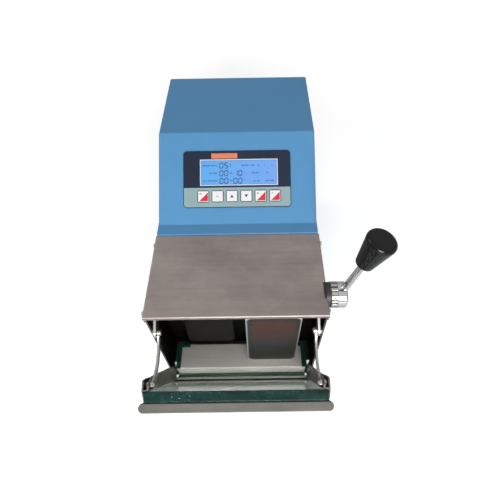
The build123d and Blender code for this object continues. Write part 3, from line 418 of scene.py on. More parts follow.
@dataclass(frozen=True)
class Steel:
    """Bare metal sheet or bar with brush lines and stains; edges brightened as rubbed wear and
    painted highlight, inner faces that can take a painted shade, and swirls that are a painted
    reflection.
    """

    colour: Colour
    roughness: float = 0.32
    way: GrainWay = GrainWay.ALONG_X
    line_scale: float = 40.0
    line_depth: float = 0.25
    line_shade: float = 0.10
    stain: float = 0.18
    stain_scale: float = 14.0
    # how much the edges are brightened: rubbed wear and painted highlight
    edge_wear_and_highlight_gain: float = 1.6
    edge_radius: float = 0.0007
    metallic: float = 1.0
    inner_painted_shade: float = 1.0
    painted_swirl_reflection: float = 0.0

    def painted_shade_inside(self, wires: Wiring, base: Socket) -> Socket:
        """Return the colour darkened on the faces that look at the machine's middle, a painted
        shade.

        Args:
            wires: The material's wiring.
            base: The colour so far.

        Returns:
            The shaded colour's socket.
        """
        facing = wires.node("ShaderNodeSeparateXYZ",
                            Vector=wires.node("ShaderNodeNewGeometry").outputs["Normal"])
        side = wires.node("ShaderNodeSeparateXYZ", Vector=wires.place())
        outward = wires.maths("MULTIPLY", facing.outputs["X"], side.outputs["X"])
        inner = wires.spread(outward, 0.004, -0.004)
        return wires.blend(inner, base, darker(self.colour, self.inner_painted_shade))

    def with_swirl_reflection(self, wires: Wiring, base: Socket) -> Socket:
        """Return the colour crossed by faint dark swirls, a painted reflection.

        Args:
            wires: The material's wiring.
            base: The colour so far.

        Returns:
            The crossed colour's socket.
        """
        curls = wires.node("ShaderNodeTexNoise", Vector=wires.place(), Scale=28.0, Detail=1.0,
                           Distortion=2.6)
        ridge = wires.maths("ABSOLUTE", wires.maths("SUBTRACT", curls.outputs[0], 0.5))
        mask = wires.maths("MULTIPLY", wires.spread(ridge, 0.035, 0.0), self.painted_swirl_reflection)
        return wires.blend(mask, base, darker(self.colour, 0.22))

    def build(self, name: str, effects: SurfaceEffects) -> Material:
        """Make the material.

        Args:
            name: The material's name.
            effects: The shared node groups.

        Returns:
            The finished material.
        """
        material, wires, shader = new_material(name)
        brushed = wires.effect(effects.brushed[self.way], Scale=self.line_scale)
        smudge = wires.effect(effects.smudge, Scale=self.stain_scale)
        wear_and_highlight = wires.effect(effects.wear_and_highlight, Radius=self.edge_radius)
        shade = wires.maths("MULTIPLY_ADD", brushed.outputs["Lines"], self.line_shade,
                            1.0 - self.line_shade / 2)
        shade = wires.maths("MULTIPLY_ADD", brushed.outputs["Bands"], self.line_shade * 0.7, shade)
        stained = wires.maths("MULTIPLY", smudge.outputs["Mask"], self.stain)
        fine = wires.maths("MULTIPLY", smudge.outputs["Fine"], self.stain * 0.4)
        dull = wires.maths("ADD", stained, fine)
        base = wires.blend(dull, self.colour, darker(self.colour, 0.45))
        if self.painted_swirl_reflection > 0.0:
            base = self.with_swirl_reflection(wires, base)
        # painted shade on the faces that look inward
        if self.inner_painted_shade < 1.0:
            base = self.painted_shade_inside(wires, base)
        tone = wires.node("ShaderNodeHueSaturation", Color=base, Value=shade)
        # edges brightened: partly rubbed wear, partly a painted highlight
        worn = wires.blend(wear_and_highlight.outputs["Mask"], tone.outputs[0],
                           darker(self.colour, self.edge_wear_and_highlight_gain))
        wires.feed(shader.inputs["Base Color"], worn)
        rough = wires.maths("MULTIPLY_ADD", dull, 0.30, self.roughness)
        rough = wires.maths("MULTIPLY_ADD", brushed.outputs["Lines"], 0.08, rough)
        wires.feed(shader.inputs["Roughness"], rough)
        shader.inputs["Metallic"].default_value = self.metallic
        bump = wires.node("ShaderNodeBump", Strength=self.line_depth, Distance=0.00012,
                          Height=brushed.outputs["Lines"], Normal=wear_and_highlight.outputs["Normal"])
        wires.feed(shader.inputs["Normal"], bump.outputs[0])
        return material


def offset_from(wires: Wiring, centre: Vector) -> bpy.types.Node:
    """Return a node that gives X, Y and Z in millimetres from a point of the frame."""
    moved = wires.mapped(wires.place(), (1.0 / MM,) * 3, tuple(-centre / MM))
    return wires.node("ShaderNodeSeparateXYZ", Vector=moved)


def inset(wires: Wiring, across: Socket, up: Socket, width: float, height: float,
          corner: float = 0.0) -> Socket:
    """Measure how far a point lies inside a rounded rectangle.

    Args:
        wires: The material's wiring.
        across: Millimetres to the right of the middle.
        up: Millimetres above the middle.
        width: The rectangle's width.
        height: The rectangle's height.
        corner: The radius of its corners.

    Returns:
        Millimetres inward from the outline.
    """
    beyond_x = wires.maths("SUBTRACT", wires.maths("ABSOLUTE", across), width / 2 - corner)
    beyond_y = wires.maths("SUBTRACT", wires.maths("ABSOLUTE", up), height / 2 - corner)
    out_x = wires.maths("MAXIMUM", beyond_x, 0.0)
    out_y = wires.maths("MAXIMUM", beyond_y, 0.0)
    squares = wires.maths("MULTIPLY_ADD", out_x, out_x, wires.maths("MULTIPLY", out_y, out_y))
    inner = wires.maths("MINIMUM", wires.maths("MAXIMUM", beyond_x, beyond_y), 0.0)
    reach = wires.maths("ADD", wires.maths("SQRT", squares), inner)
    return wires.maths("SUBTRACT", corner, reach)


@dataclass(frozen=True)
class PressedFace:
    """A paddle's dark steel: fine level lines, a bright rim that is a painted highlight, and a
    painted reddish reflection on the upper half.
    """

    colour: Colour = (0.046, 0.046, 0.039)
    # a painted reddish reflection on the face's upper half
    tint: Colour = (0.130, 0.036, 0.025)
    painted_reflection_amount: float = 0.95
    # a painted highlight colour along the face's rounded border
    rim: Colour = (0.86, 0.88, 0.90)
    highlight_rim_width: float = 2.8
    width: float = 72.0
    height: float = 140.0
    corner: float = 10.0
    reflection_low: float = 2.0
    reflection_high: float = 12.0

    def build(self, name: str, effects: SurfaceEffects, centre: Vector) -> Material:
        """Make the material.

        Args:
            name: The material's name.
            effects: The shared node groups.
            centre: The middle of the paddle in the frame.

        Returns:
            The finished material.
        """
        material, wires, shader = new_material(name)
        place = offset_from(wires, centre)
        across, up = place.outputs["X"], place.outputs["Z"]
        inward = inset(wires, across, up, self.width, self.height, self.corner)
        brushed = wires.effect(effects.brushed[GrainWay.ALONG_X], Scale=30.0)
        smudge = wires.effect(effects.smudge, Scale=13.0, Stretch=1.4)
        wear_and_highlight = wires.effect(effects.wear_and_highlight, Radius=0.0012)
        # painted reflection: reddish over the upper half, away from the rim
        reflection_mask = wires.maths("MULTIPLY", wires.spread(up, self.reflection_low, self.reflection_high),
                           wires.spread(inward, 5.0, 13.0))
        reflection_mask = wires.maths("MULTIPLY", reflection_mask, self.painted_reflection_amount)
        base = wires.blend(reflection_mask, self.colour, self.tint)
        base = wires.blend(wires.maths("MULTIPLY", smudge.outputs["Mask"], 0.45), base,
                           darker(self.colour, 0.5))
        lines = wires.spread(brushed.outputs["Lines"], 0, 1, 0.65, 1.35)
        base = wires.node("ShaderNodeHueSaturation", Color=base, Value=lines).outputs[0]
        # painted highlight along the border, joined with the rubbed edges
        edge = wires.maths("MAXIMUM", wires.spread(inward, self.highlight_rim_width, self.highlight_rim_width * 0.4),
                           wear_and_highlight.outputs["Mask"])
        wires.feed(shader.inputs["Base Color"], wires.blend(edge, base, self.rim))
        wires.feed(shader.inputs["Roughness"],
                   wires.spread(brushed.outputs["Lines"], 0, 1, 0.26, 0.40))
        wires.feed(shader.inputs["Metallic"], wires.spread(edge, 0.0, 1.0, 0.8, 0.3))
        bump = wires.node("ShaderNodeBump", Strength=0.25, Distance=0.00012,
                          Height=brushed.outputs["Lines"], Normal=wear_and_highlight.outputs["Normal"])
        wires.feed(shader.inputs["Normal"], bump.outputs[0])
        return material


@dataclass(frozen=True)
class FlutedSteel:
    """A turned ring with grooves along its rim, darkened as a painted shade."""

    colour: Colour = (0.74, 0.71, 0.68)
    painted_groove_shade: Colour = (0.05, 0.048, 0.046)
    grooves: int = 18

    def build(self, name: str, effects: SurfaceEffects, centre: Vector) -> Material:
        """Make the material.

        Args:
            name: The material's name.
            effects: The shared node groups.
            centre: A point on the ring's axis in the frame.

        Returns:
            The finished material.
        """
        material, wires, shader = new_material(name)
        place = offset_from(wires, centre)
        angle = wires.maths("ARCTAN2", place.outputs["Y"], place.outputs["Z"])
        wave = wires.maths("SINE", wires.maths("MULTIPLY", angle, float(self.grooves)))
        cut = wires.spread(wave, 0.55, 0.92)
        brushed = wires.effect(effects.brushed[GrainWay.TURNED_ABOUT_X], Scale=60.0)
        smudge = wires.effect(effects.smudge, Scale=60.0)
        base = wires.blend(wires.maths("MULTIPLY", smudge.outputs["Mask"], 0.3), self.colour,
                           darker(self.colour, 0.5))
        # grooves darkened as a painted shade
        wires.feed(shader.inputs["Base Color"], wires.blend(cut, base, self.painted_groove_shade))
        wires.feed(shader.inputs["Roughness"],
                   wires.spread(brushed.outputs["Lines"], 0, 1, 0.20, 0.34))
        shader.inputs["Metallic"].default_value = 1.0
        height = wires.maths("SUBTRACT", 1.0, cut)
        bump = wires.node("ShaderNodeBump", Strength=0.7, Distance=0.0005, Height=height)
        wires.feed(shader.inputs["Normal"], bump.outputs[0])
        return material


@dataclass(frozen=True)
class Coating:
    """Paint, plastic or rubber: a pebbled coloured skin with dust and lighter rubbed edges, which on
    the blue paint are also a painted highlight.
    """

    colour: Colour
    roughness: float = 0.42
    pebble_scale: float = 900.0
    pebble_depth: float = 0.12
    patch: float = 0.10
    dust: float = 0.06
    edge: Colour | None = None
    edge_amount: float = 0.5
    edge_radius: float = 0.0008
    specular: float = 0.5
    coat: float = 0.0

    def build(self, name: str, effects: SurfaceEffects) -> Material:
        """Make the material.

        Args:
            name: The material's name.
            effects: The shared node groups.

        Returns:
            The finished material.
        """
        material, wires, shader = new_material(name)
        grain = wires.effect(effects.grain, Scale=self.pebble_scale)
        smudge = wires.effect(effects.smudge, Scale=11.0, Stretch=1.0)
        wear_and_highlight = wires.effect(effects.wear_and_highlight, Radius=self.edge_radius, Breakup=0.7)
        patch = wires.maths("MULTIPLY", smudge.outputs["Mask"], self.patch)
        base = wires.blend(patch, self.colour, darker(self.colour, 0.6))
        dust = wires.maths("MULTIPLY", smudge.outputs["Fine"], self.dust)
        base = wires.blend(dust, base, DUST)
        rim = self.edge or darker(self.colour, 1.5)
        rubbed = wires.maths("MULTIPLY", wear_and_highlight.outputs["Mask"], self.edge_amount)
        wires.feed(shader.inputs["Base Color"], wires.blend(rubbed, base, rim))
        rough = wires.maths("MULTIPLY_ADD", smudge.outputs["Fine"], 0.10, self.roughness - 0.05)
        wires.feed(shader.inputs["Roughness"], rough)
        shader.inputs["Specular IOR Level"].default_value = self.specular
        shader.inputs["Coat Weight"].default_value = self.coat
        shader.inputs["Coat Roughness"].default_value = 0.12
        bump = wires.node("ShaderNodeBump", Strength=self.pebble_depth, Distance=0.0002,
                          Height=grain.outputs[0], Normal=wear_and_highlight.outputs["Normal"])
        wires.feed(shader.inputs["Normal"], bump.outputs[0])
        return material


@dataclass(frozen=True)
class GreenPlate:
    """The door's thick float glass, seen through its broad faces."""

    tint: Colour = (0.86, 0.94, 0.91)
    grime: float = 0.05

    def build(self, name: str, effects: SurfaceEffects) -> Material:
        """Make the glass.

        Args:
            name: The material's name.
            effects: The shared node groups.

        Returns:
            The finished material.
        """
        material, wires, shader = new_material(name)
        smudge = wires.effect(effects.smudge, Scale=18.0, Stretch=0.5)
        haze = wires.maths("MULTIPLY", smudge.outputs["Mask"], self.grime)
        hazed = wires.blend(haze, self.tint, darker(self.tint, 0.7))
        wires.feed(shader.inputs["Base Color"], hazed)
        wires.feed(shader.inputs["Roughness"], wires.maths("MULTIPLY_ADD", haze, 0.8, 0.01))
        shader.inputs["Metallic"].default_value = 0.0
        shader.inputs["Transmission Weight"].default_value = 1.0
        shader.inputs["IOR"].default_value = 1.51
        return material


@dataclass(frozen=True)
class GlassEdge:
    """The pane's ground edge, where its green shows deepest."""

    deep: Colour = (0.002, 0.018, 0.016)
    light: Colour = (0.006, 0.050, 0.036)
    # colour of the chipped edges and of the painted glints
    chips_and_glints: Colour = (0.45, 0.60, 0.58)

    def build(self, name: str, effects: SurfaceEffects) -> Material:
        """Make the edge's material.

        Args:
            name: The material's name.
            effects: The shared node groups.

        Returns:
            The finished material.
        """
        material, wires, shader = new_material(name)
        smudge = wires.effect(effects.smudge, Scale=22.0, Stretch=6.0)
        wear_and_highlight = wires.effect(effects.wear_and_highlight, Radius=0.0009, Breakup=0.9, Scale=160.0)
        base = wires.blend(smudge.outputs["Mask"], self.deep, self.light)
        # bright specks along the edge: painted glints, joined with the chipped edges
        glint_specks = wires.noise(wires.mapped(wires.place(), (1.0, 2.2, 2.2)), 310.0, 2.0, 0.4)
        glint_specks = wires.spread(glint_specks, 0.66, 0.72)
        where = wires.spread(wires.noise(wires.place(), 24.0, 1.0), 0.50, 0.62)
        glints_and_chips = wires.maths("MULTIPLY", glint_specks, where)
        glints_and_chips = wires.maths("MAXIMUM", glints_and_chips, wires.maths("MULTIPLY", wear_and_highlight.outputs["Mask"], 0.35))
        wires.feed(shader.inputs["Base Color"], wires.blend(glints_and_chips, base, self.chips_and_glints))
        wires.feed(shader.inputs["Roughness"],
                   wires.spread(smudge.outputs["Fine"], 0, 1, 0.16, 0.36))
        shader.inputs["Specular IOR Level"].default_value = 0.3
        bump = wires.node("ShaderNodeBump", Strength=0.2, Distance=0.0003,
                          Height=smudge.outputs["Fine"], Normal=wear_and_highlight.outputs["Normal"])
        wires.feed(shader.inputs["Normal"], bump.outputs[0])
        return material


@dataclass(frozen=True)
class LitDisplay:
    """Backlit liquid crystal behind a clear window, with its pale printed border."""

    left: Colour = (0.100, 0.37, 0.74)
    right: Colour = (0.170, 0.34, 0.78)
    border: Colour = (0.60, 0.70, 0.83)
    line: Colour = (0.10, 0.19, 0.45)
    width: float = 109.0
    height: float = 37.4
    rim: float = 1.4
    inner_line: float = 0.55
    corner: float = 2.0
    glow: float = 0.10

    def build(self, name: str, effects: SurfaceEffects, to_sheet: "PanelCoords") -> Material:
        """Make the display.

        Args:
            name: The material's name.
            effects: The shared node groups.
            to_sheet: The panel's own flat coordinates.

        Returns:
            The finished material.
        """
        material, wires, shader = new_material(name)
        across, up = to_sheet.sockets(wires)
        sweep = wires.spread(across, -self.width / 2, self.width / 2)
        field_colour = wires.blend(sweep, self.left, self.right)
        smudge = wires.effect(effects.smudge, Scale=40.0)
        clouded = wires.maths("MULTIPLY", smudge.outputs["Mask"], 0.12)
        field_colour = wires.blend(clouded, field_colour, darker(self.left, 1.35))
        inside = inset(wires, across, up, self.width, self.height, self.corner)
        edge_line = wires.maths("SUBTRACT", wires.spread(inside, self.rim, self.rim + 0.15),
                                wires.spread(inside, self.rim + self.inner_line,
                                             self.rim + self.inner_line + 0.5))
        face = wires.blend(wires.maths("MULTIPLY", edge_line, 0.75), field_colour, self.line)
        shown = wires.blend(wires.spread(inside, self.rim - 0.2, self.rim), self.border, face)
        wires.feed(shader.inputs["Base Color"], shown)
        wires.feed(shader.inputs["Emission Color"], shown)
        shader.inputs["Emission Strength"].default_value = self.glow
        wires.feed(shader.inputs["Roughness"],
                   wires.spread(smudge.outputs["Fine"], 0, 1, 0.16, 0.26))
        return material


@dataclass(frozen=True)
class PanelCoords:
    """The panel's flat millimetre coordinates, worked out inside a material."""

    centre: Vector
    slope: float

    def sockets(self, wires: Wiring) -> tuple[Socket, Socket]:
        """Return millimetres across and up the slope from the centre.

        Args:
            wires: The material's wiring.

        Returns:
            The two distances' sockets.
        """
        turn = wires.node("ShaderNodeMapping", {"vector_type": "TEXTURE"}, Vector=wires.place(),
                          Location=tuple(self.centre), Rotation=(self.slope, 0.0, 0.0),
                          Scale=(MM, MM, MM))
        split = wires.node("ShaderNodeSeparateXYZ", Vector=turn.outputs[0])
        return split.outputs["X"], split.outputs["Y"]


@dataclass(frozen=True)
class PanelFilm:
    """Printed film of the bezel: dark round the display, grey-green behind the keys, with a dark
    line round its edge that is partly the film's edge and partly a painted shadow.
    """

    dark: Colour = (0.013, 0.020, 0.040)
    pale: Colour = (0.310, 0.448, 0.458)
    width: float = 150.0
    height: float = 80.0
    corner: float = 5.0
    border: float = 1.1
    dark_height: float = 52.0

    def build(self, name: str, effects: SurfaceEffects, to_sheet: PanelCoords) -> Material:
        """Make the film.

        Args:
            name: The material's name.
            effects: The shared node groups.
            to_sheet: The panel's flat coordinates, centred on the bezel.

        Returns:
            The finished material.
        """
        material, wires, shader = new_material(name)
        across, up = to_sheet.sockets(wires)
        smudge = wires.effect(effects.smudge, Scale=16.0, Stretch=1.0)
        wear_and_highlight = wires.effect(effects.wear_and_highlight, Radius=0.0005)
        split = self.height / 2 - self.dark_height
        pale = wires.blend(wires.maths("MULTIPLY", smudge.outputs["Mask"], 0.35), self.pale,
                           darker(self.pale, 0.72))
        dark = wires.blend(wires.maths("MULTIPLY", smudge.outputs["Mask"], 0.5), self.dark,
                           darker(self.dark, 1.8))
        inward = inset(wires, across, up, self.width, self.height, self.corner)
        # dark print above the split, and a dark line round the edge: partly the film's edge, partly
        # a painted shadow
        dark_print_and_shadow_line = wires.maths("MAXIMUM", wires.spread(up, split - 0.15, split + 0.15),
                             wires.spread(inward, self.border, self.border * 0.6))
        shown = wires.blend(dark_print_and_shadow_line, pale, dark)
        worn = wires.blend(wires.maths("MULTIPLY", wear_and_highlight.outputs["Mask"], 0.25), shown,
                           WORN_FILM)
        wires.feed(shader.inputs["Base Color"], worn)
        wires.feed(shader.inputs["Roughness"],
                   wires.spread(smudge.outputs["Fine"], 0, 1, 0.40, 0.55))
        shader.inputs["Specular IOR Level"].default_value = 0.25
        grain = wires.effect(effects.grain, Scale=2600.0)
        bump = wires.node("ShaderNodeBump", Strength=0.08, Distance=0.0001,
                          Height=grain.outputs[0], Normal=wear_and_highlight.outputs["Normal"])
        wires.feed(shader.inputs["Normal"], bump.outputs[0])
        return material


class FinishShelf:
    """All the finishes of the machine, each built once when it is first asked for."""

    def __init__(self, effects: SurfaceEffects, drawing: Drawing, panel: PanelPlane) -> None:
        """Lay out the recipes.

        Args:
            effects: The shared node groups.
            drawing: The drawing's place.
            panel: The sloping panel.
        """
        self.effects = effects
        self.drawing = drawing
        self.panel = panel
        self.made: dict[str, Material] = {}
        self.recipes: dict[str, Steel | Coating | GreenPlate | GlassEdge] = {
            # the lighter blue on the paint's edges is partly rubbed paint and partly a painted
            # highlight
            "blue_paint": Coating(
                colour=(0.095, 0.3, 0.56), roughness=0.44, pebble_scale=1100.0,
                pebble_depth=0.1, dust=0.02, edge=(0.2, 0.42, 0.66), specular=0.35),
            # the cover's bright front edge line is a painted highlight as well as rubbed wear
            "cover_stainless": Steel(
                colour=(0.45, 0.385, 0.362), roughness=0.38, line_scale=34.0, line_depth=0.26,
                line_shade=0.09, stain=0.36, stain_scale=9.0, edge_wear_and_highlight_gain=2.3, edge_radius=0.001),
            "stainless": Steel(
                colour=(0.4, 0.375, 0.345), roughness=0.33, way=GrainWay.ALONG_Z,
                line_scale=36.0, line_depth=0.22, line_shade=0.12, stain=0.25, stain_scale=16.0),
            # the chamber sides' inner faces get a painted shade
            "chamber_stainless": Steel(
                colour=(0.36, 0.32, 0.3), roughness=0.36, way=GrainWay.ALONG_Z, line_scale=36.0,
                line_depth=0.22, line_shade=0.12, stain=0.35, stain_scale=16.0, edge_wear_and_highlight_gain=2.0,
                inner_painted_shade=0.1),
            # the tray's steel drawn pale and nearly non-metallic: a painted light for its brightly
            # lit floor
            "tray_stainless": Steel(
                colour=(0.93, 0.85, 0.78), roughness=0.42, line_scale=34.0, line_depth=0.22,
                stain=0.14, edge_wear_and_highlight_gain=1.05, metallic=0.1),
            "sill_stainless": Steel(
                colour=(0.5, 0.5, 0.46), roughness=0.36, line_scale=34.0, line_depth=0.22,
                stain=0.3, edge_wear_and_highlight_gain=1.5, metallic=0.45),
            # the brackets' dark swirls are a painted reflection
            "bracket_stainless": Steel(
                colour=(0.3, 0.285, 0.26), roughness=0.3, way=GrainWay.ALONG_Z, line_scale=44.0,
                line_depth=0.2, line_shade=0.22, stain=0.4, stain_scale=30.0, edge_wear_and_highlight_gain=2.2,
                painted_swirl_reflection=0.3),
            "bar_stainless": Steel(
                colour=(0.165, 0.16, 0.145), roughness=0.46, line_scale=30.0, line_depth=0.3,
                line_shade=0.14, stain=0.3, stain_scale=12.0),
            # the chamber's back plate drawn near black: a painted shade for the shadow under the
            # cover
            "dark_plate": Steel(
                colour=(0.04, 0.036, 0.031), roughness=0.45, way=GrainWay.ALONG_Z,
                line_scale=30.0, line_depth=0.2, line_shade=0.2, stain=0.4, stain_scale=10.0,
                edge_wear_and_highlight_gain=3.0),
            "screw_steel": Steel(
                colour=(0.62, 0.6, 0.56), roughness=0.24, way=GrainWay.TURNED_ABOUT_X,
                line_scale=60.0, line_depth=0.12, stain=0.22, stain_scale=80.0, edge_wear_and_highlight_gain=1.3,
                edge_radius=0.0003),
            "bright_steel": Steel(
                colour=(0.58, 0.56, 0.53), roughness=0.22, way=GrainWay.TURNED_ABOUT_X,
                line_scale=80.0, line_depth=0.15, stain=0.15, stain_scale=60.0, edge_wear_and_highlight_gain=1.3,
                edge_radius=0.0004),
            "bearing_steel": Steel(
                colour=(0.48, 0.47, 0.45), roughness=0.26, way=GrainWay.TURNED_ABOUT_X,
                line_scale=80.0, line_depth=0.15, line_shade=0.12, stain=0.15, stain_scale=60.0,
                edge_wear_and_highlight_gain=1.4, edge_radius=0.0004),
            "chrome": Steel(
                colour=(0.74, 0.74, 0.77), roughness=0.05, way=GrainWay.TURNED_ABOUT_X,
                line_scale=60.0, line_depth=0.02, line_shade=0.03, stain=0.06, stain_scale=50.0,
                edge_wear_and_highlight_gain=1.15, edge_radius=0.0004),
            "base_steel": Steel(
                colour=(0.32, 0.33, 0.34), roughness=0.42, way=GrainWay.ALONG_Y,
                line_scale=34.0, line_depth=0.2, line_shade=0.12, stain=0.3, stain_scale=10.0,
                edge_wear_and_highlight_gain=1.7),
            "cast_aluminium": Steel(
                colour=(0.46, 0.46, 0.45), roughness=0.5, way=GrainWay.ALONG_Z, line_scale=26.0,
                line_depth=0.35, stain=0.3, stain_scale=30.0, edge_wear_and_highlight_gain=1.5),
            "bronze": Steel(
                colour=(0.45, 0.29, 0.13), roughness=0.34, way=GrainWay.TURNED_ABOUT_X,
                line_scale=70.0, line_depth=0.15, line_shade=0.15, stain=0.3, stain_scale=60.0,
                edge_wear_and_highlight_gain=1.5),
            "foot_rubber": Coating(
                colour=(0.016, 0.016, 0.017), roughness=0.62, pebble_scale=1400.0,
                pebble_depth=0.25, patch=0.3, dust=0.1),
            "black_rubber": Coating(
                colour=(0.014, 0.015, 0.015), roughness=0.55, pebble_scale=1500.0,
                pebble_depth=0.2, patch=0.3),
            "belt_rubber": Coating(
                colour=(0.018, 0.018, 0.018), roughness=0.6, pebble_scale=1500.0,
                pebble_depth=0.3, patch=0.3, dust=0.08),
            "green_rubber": Coating(
                colour=(0.006, 0.09, 0.045), roughness=0.36, pebble_scale=1500.0, patch=0.5,
                dust=0.03, edge=(0.04, 0.22, 0.13), edge_amount=0.6),
            "black_plastic": Coating(
                colour=(0.02, 0.02, 0.022), pebble_scale=1800.0, patch=0.2, dust=0.05,
                edge=(0.08, 0.08, 0.085)),
            "black_gloss": Coating(
                colour=(0.0045, 0.005, 0.006), roughness=0.17, pebble_scale=700.0,
                pebble_depth=0.03, patch=0.2, dust=0.004, edge=(0.02, 0.02, 0.024),
                edge_radius=0.0012, specular=0.3),
            "white_nylon": Coating(
                colour=(0.72, 0.71, 0.66), pebble_scale=1500.0, pebble_depth=0.1, patch=0.2,
                dust=0.04, edge=(0.85, 0.85, 0.82)),
            "key_plastic": Coating(
                colour=(0.86, 0.86, 0.88), roughness=0.32, pebble_scale=2400.0,
                pebble_depth=0.06, patch=0.06, dust=0.02, edge=(0.95, 0.95, 0.96),
                edge_amount=0.4, edge_radius=0.0004),
            "motor_enamel": Coating(
                colour=(0.045, 0.055, 0.065), roughness=0.38, pebble_scale=1300.0,
                pebble_depth=0.15, patch=0.2, edge=(0.22, 0.23, 0.24), edge_amount=0.6),
            "board_green": Coating(
                colour=(0.01, 0.105, 0.045), roughness=0.34, pebble_scale=1900.0,
                pebble_depth=0.08, patch=0.4, dust=0.03, edge=(0.2, 0.26, 0.13),
                edge_radius=0.0003),
            "orange_ink": Coating(
                colour=(0.82, 0.225, 0.105), roughness=0.4, pebble_scale=2500.0,
                pebble_depth=0.05, patch=0.15, dust=0.05),
            "red_ink": Coating(
                colour=(0.7, 0.025, 0.055), roughness=0.34, pebble_scale=2500.0,
                pebble_depth=0.05, patch=0.12, dust=0.02),
            "grey_ink": Coating(
                colour=(0.045, 0.05, 0.06), roughness=0.4, pebble_scale=2500.0,
                pebble_depth=0.05, patch=0.15, dust=0.02),
            "outline_ink": Coating(
                colour=(0.04, 0.053, 0.056), roughness=0.4, pebble_scale=2500.0,
                pebble_depth=0.05, patch=0.3, dust=0.02),
            "digit_ink": Coating(
                colour=(0.03, 0.06, 0.19), roughness=0.24, pebble_scale=2500.0,
                pebble_depth=0.03, patch=0.2, dust=0.0),
            "faint_ink": Coating(
                colour=(0.07, 0.15, 0.39), roughness=0.24, pebble_scale=2500.0,
                pebble_depth=0.03, patch=0.3, dust=0.0),
            "door_glass": GreenPlate(),
            "glass_edge": GlassEdge(),
        }

    def sheet_coords(self, drop: float, across: float = 0.0) -> PanelCoords:
        """Return panel coordinates centred on a point of the slope.

        Args:
            drop: Millimetres down from the crease.
            across: Millimetres to the right of the middle.

        Returns:
            The coordinates for a material.
        """
        flat = self.panel.matrix()
        centre = self.drawing.matrix() @ flat @ Vector((across, -drop, 0.0))
        slope = flat.to_euler().x
        return PanelCoords(centre, slope)

    def get(self, name: str) -> Material:
        """Return a finish by name, building it the first time.

        Args:
            name: The finish's name.

        Returns:
            The material.
        """
        if name not in self.made:
            self.made[name] = self.recipes[name].build(name, self.effects)
        return self.made[name]

    def dress(self, nodes: Iterable[str], name: str) -> None:
        """Give CAD nodes one of the finishes."""
        for node in nodes:
            self.put(node, self.get(name))

    @staticmethod
    def put(node: str, material: Material) -> None:
        """Put a material in every slot of a CAD node's object.

        Args:
            node: The CAD node's name.
            material: The material to put on.
        """
        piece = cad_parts[node]
        if not piece.material_slots:
            piece.data.materials.append(material)
        for holder in piece.material_slots:
            holder.material = material
        log.info("%s wears %s", node, material.name)


# ---------------------------------------------------------------- meshes
def rounded_outline(width: float, height: float, radius: float, steps: int = 6) -> Outline:
    """Return the points of a rectangle with round corners, centred on the origin.

    Args:
        width: Size across, in millimetres.
        height: Size up, in millimetres.
        radius: Radius of the corners.
        steps: Straight pieces in each corner.

    Returns:
        The points, anticlockwise.
    """
    points = []
    corners = ((1, 1, 0.0), (-1, 1, 0.5), (-1, -1, 1.0), (1, -1, 1.5))
    for side, end, start in corners:
        for step in range(steps + 1):
            angle = (start + 0.5 * step / steps) * math.pi
            points.append((side * (width / 2 - radius) + radius * math.cos(angle),
                           end * (height / 2 - radius) + radius * math.sin(angle)))
    return points


def prism(outline: Outline, low: float, high: float) -> bmesh.types.BMesh:
    """Return a closed prism over an outline in XY, between two heights.

    Args:
        outline: The shape's points in order.
        low: Height of the bottom.
        high: Height of the top.

    Returns:
        The closed mesh in progress.
    """
    mesh = bmesh.new()
    bottom = [mesh.verts.new((x, y, low)) for x, y in outline]
    top = [mesh.verts.new((x, y, high)) for x, y in outline]
    mesh.faces.new(top)
    mesh.faces.new(list(reversed(bottom)))
    for index in range(len(outline)):
        after = (index + 1) % len(outline)
        mesh.faces.new((bottom[index], bottom[after], top[after], top[index]))
    return mesh


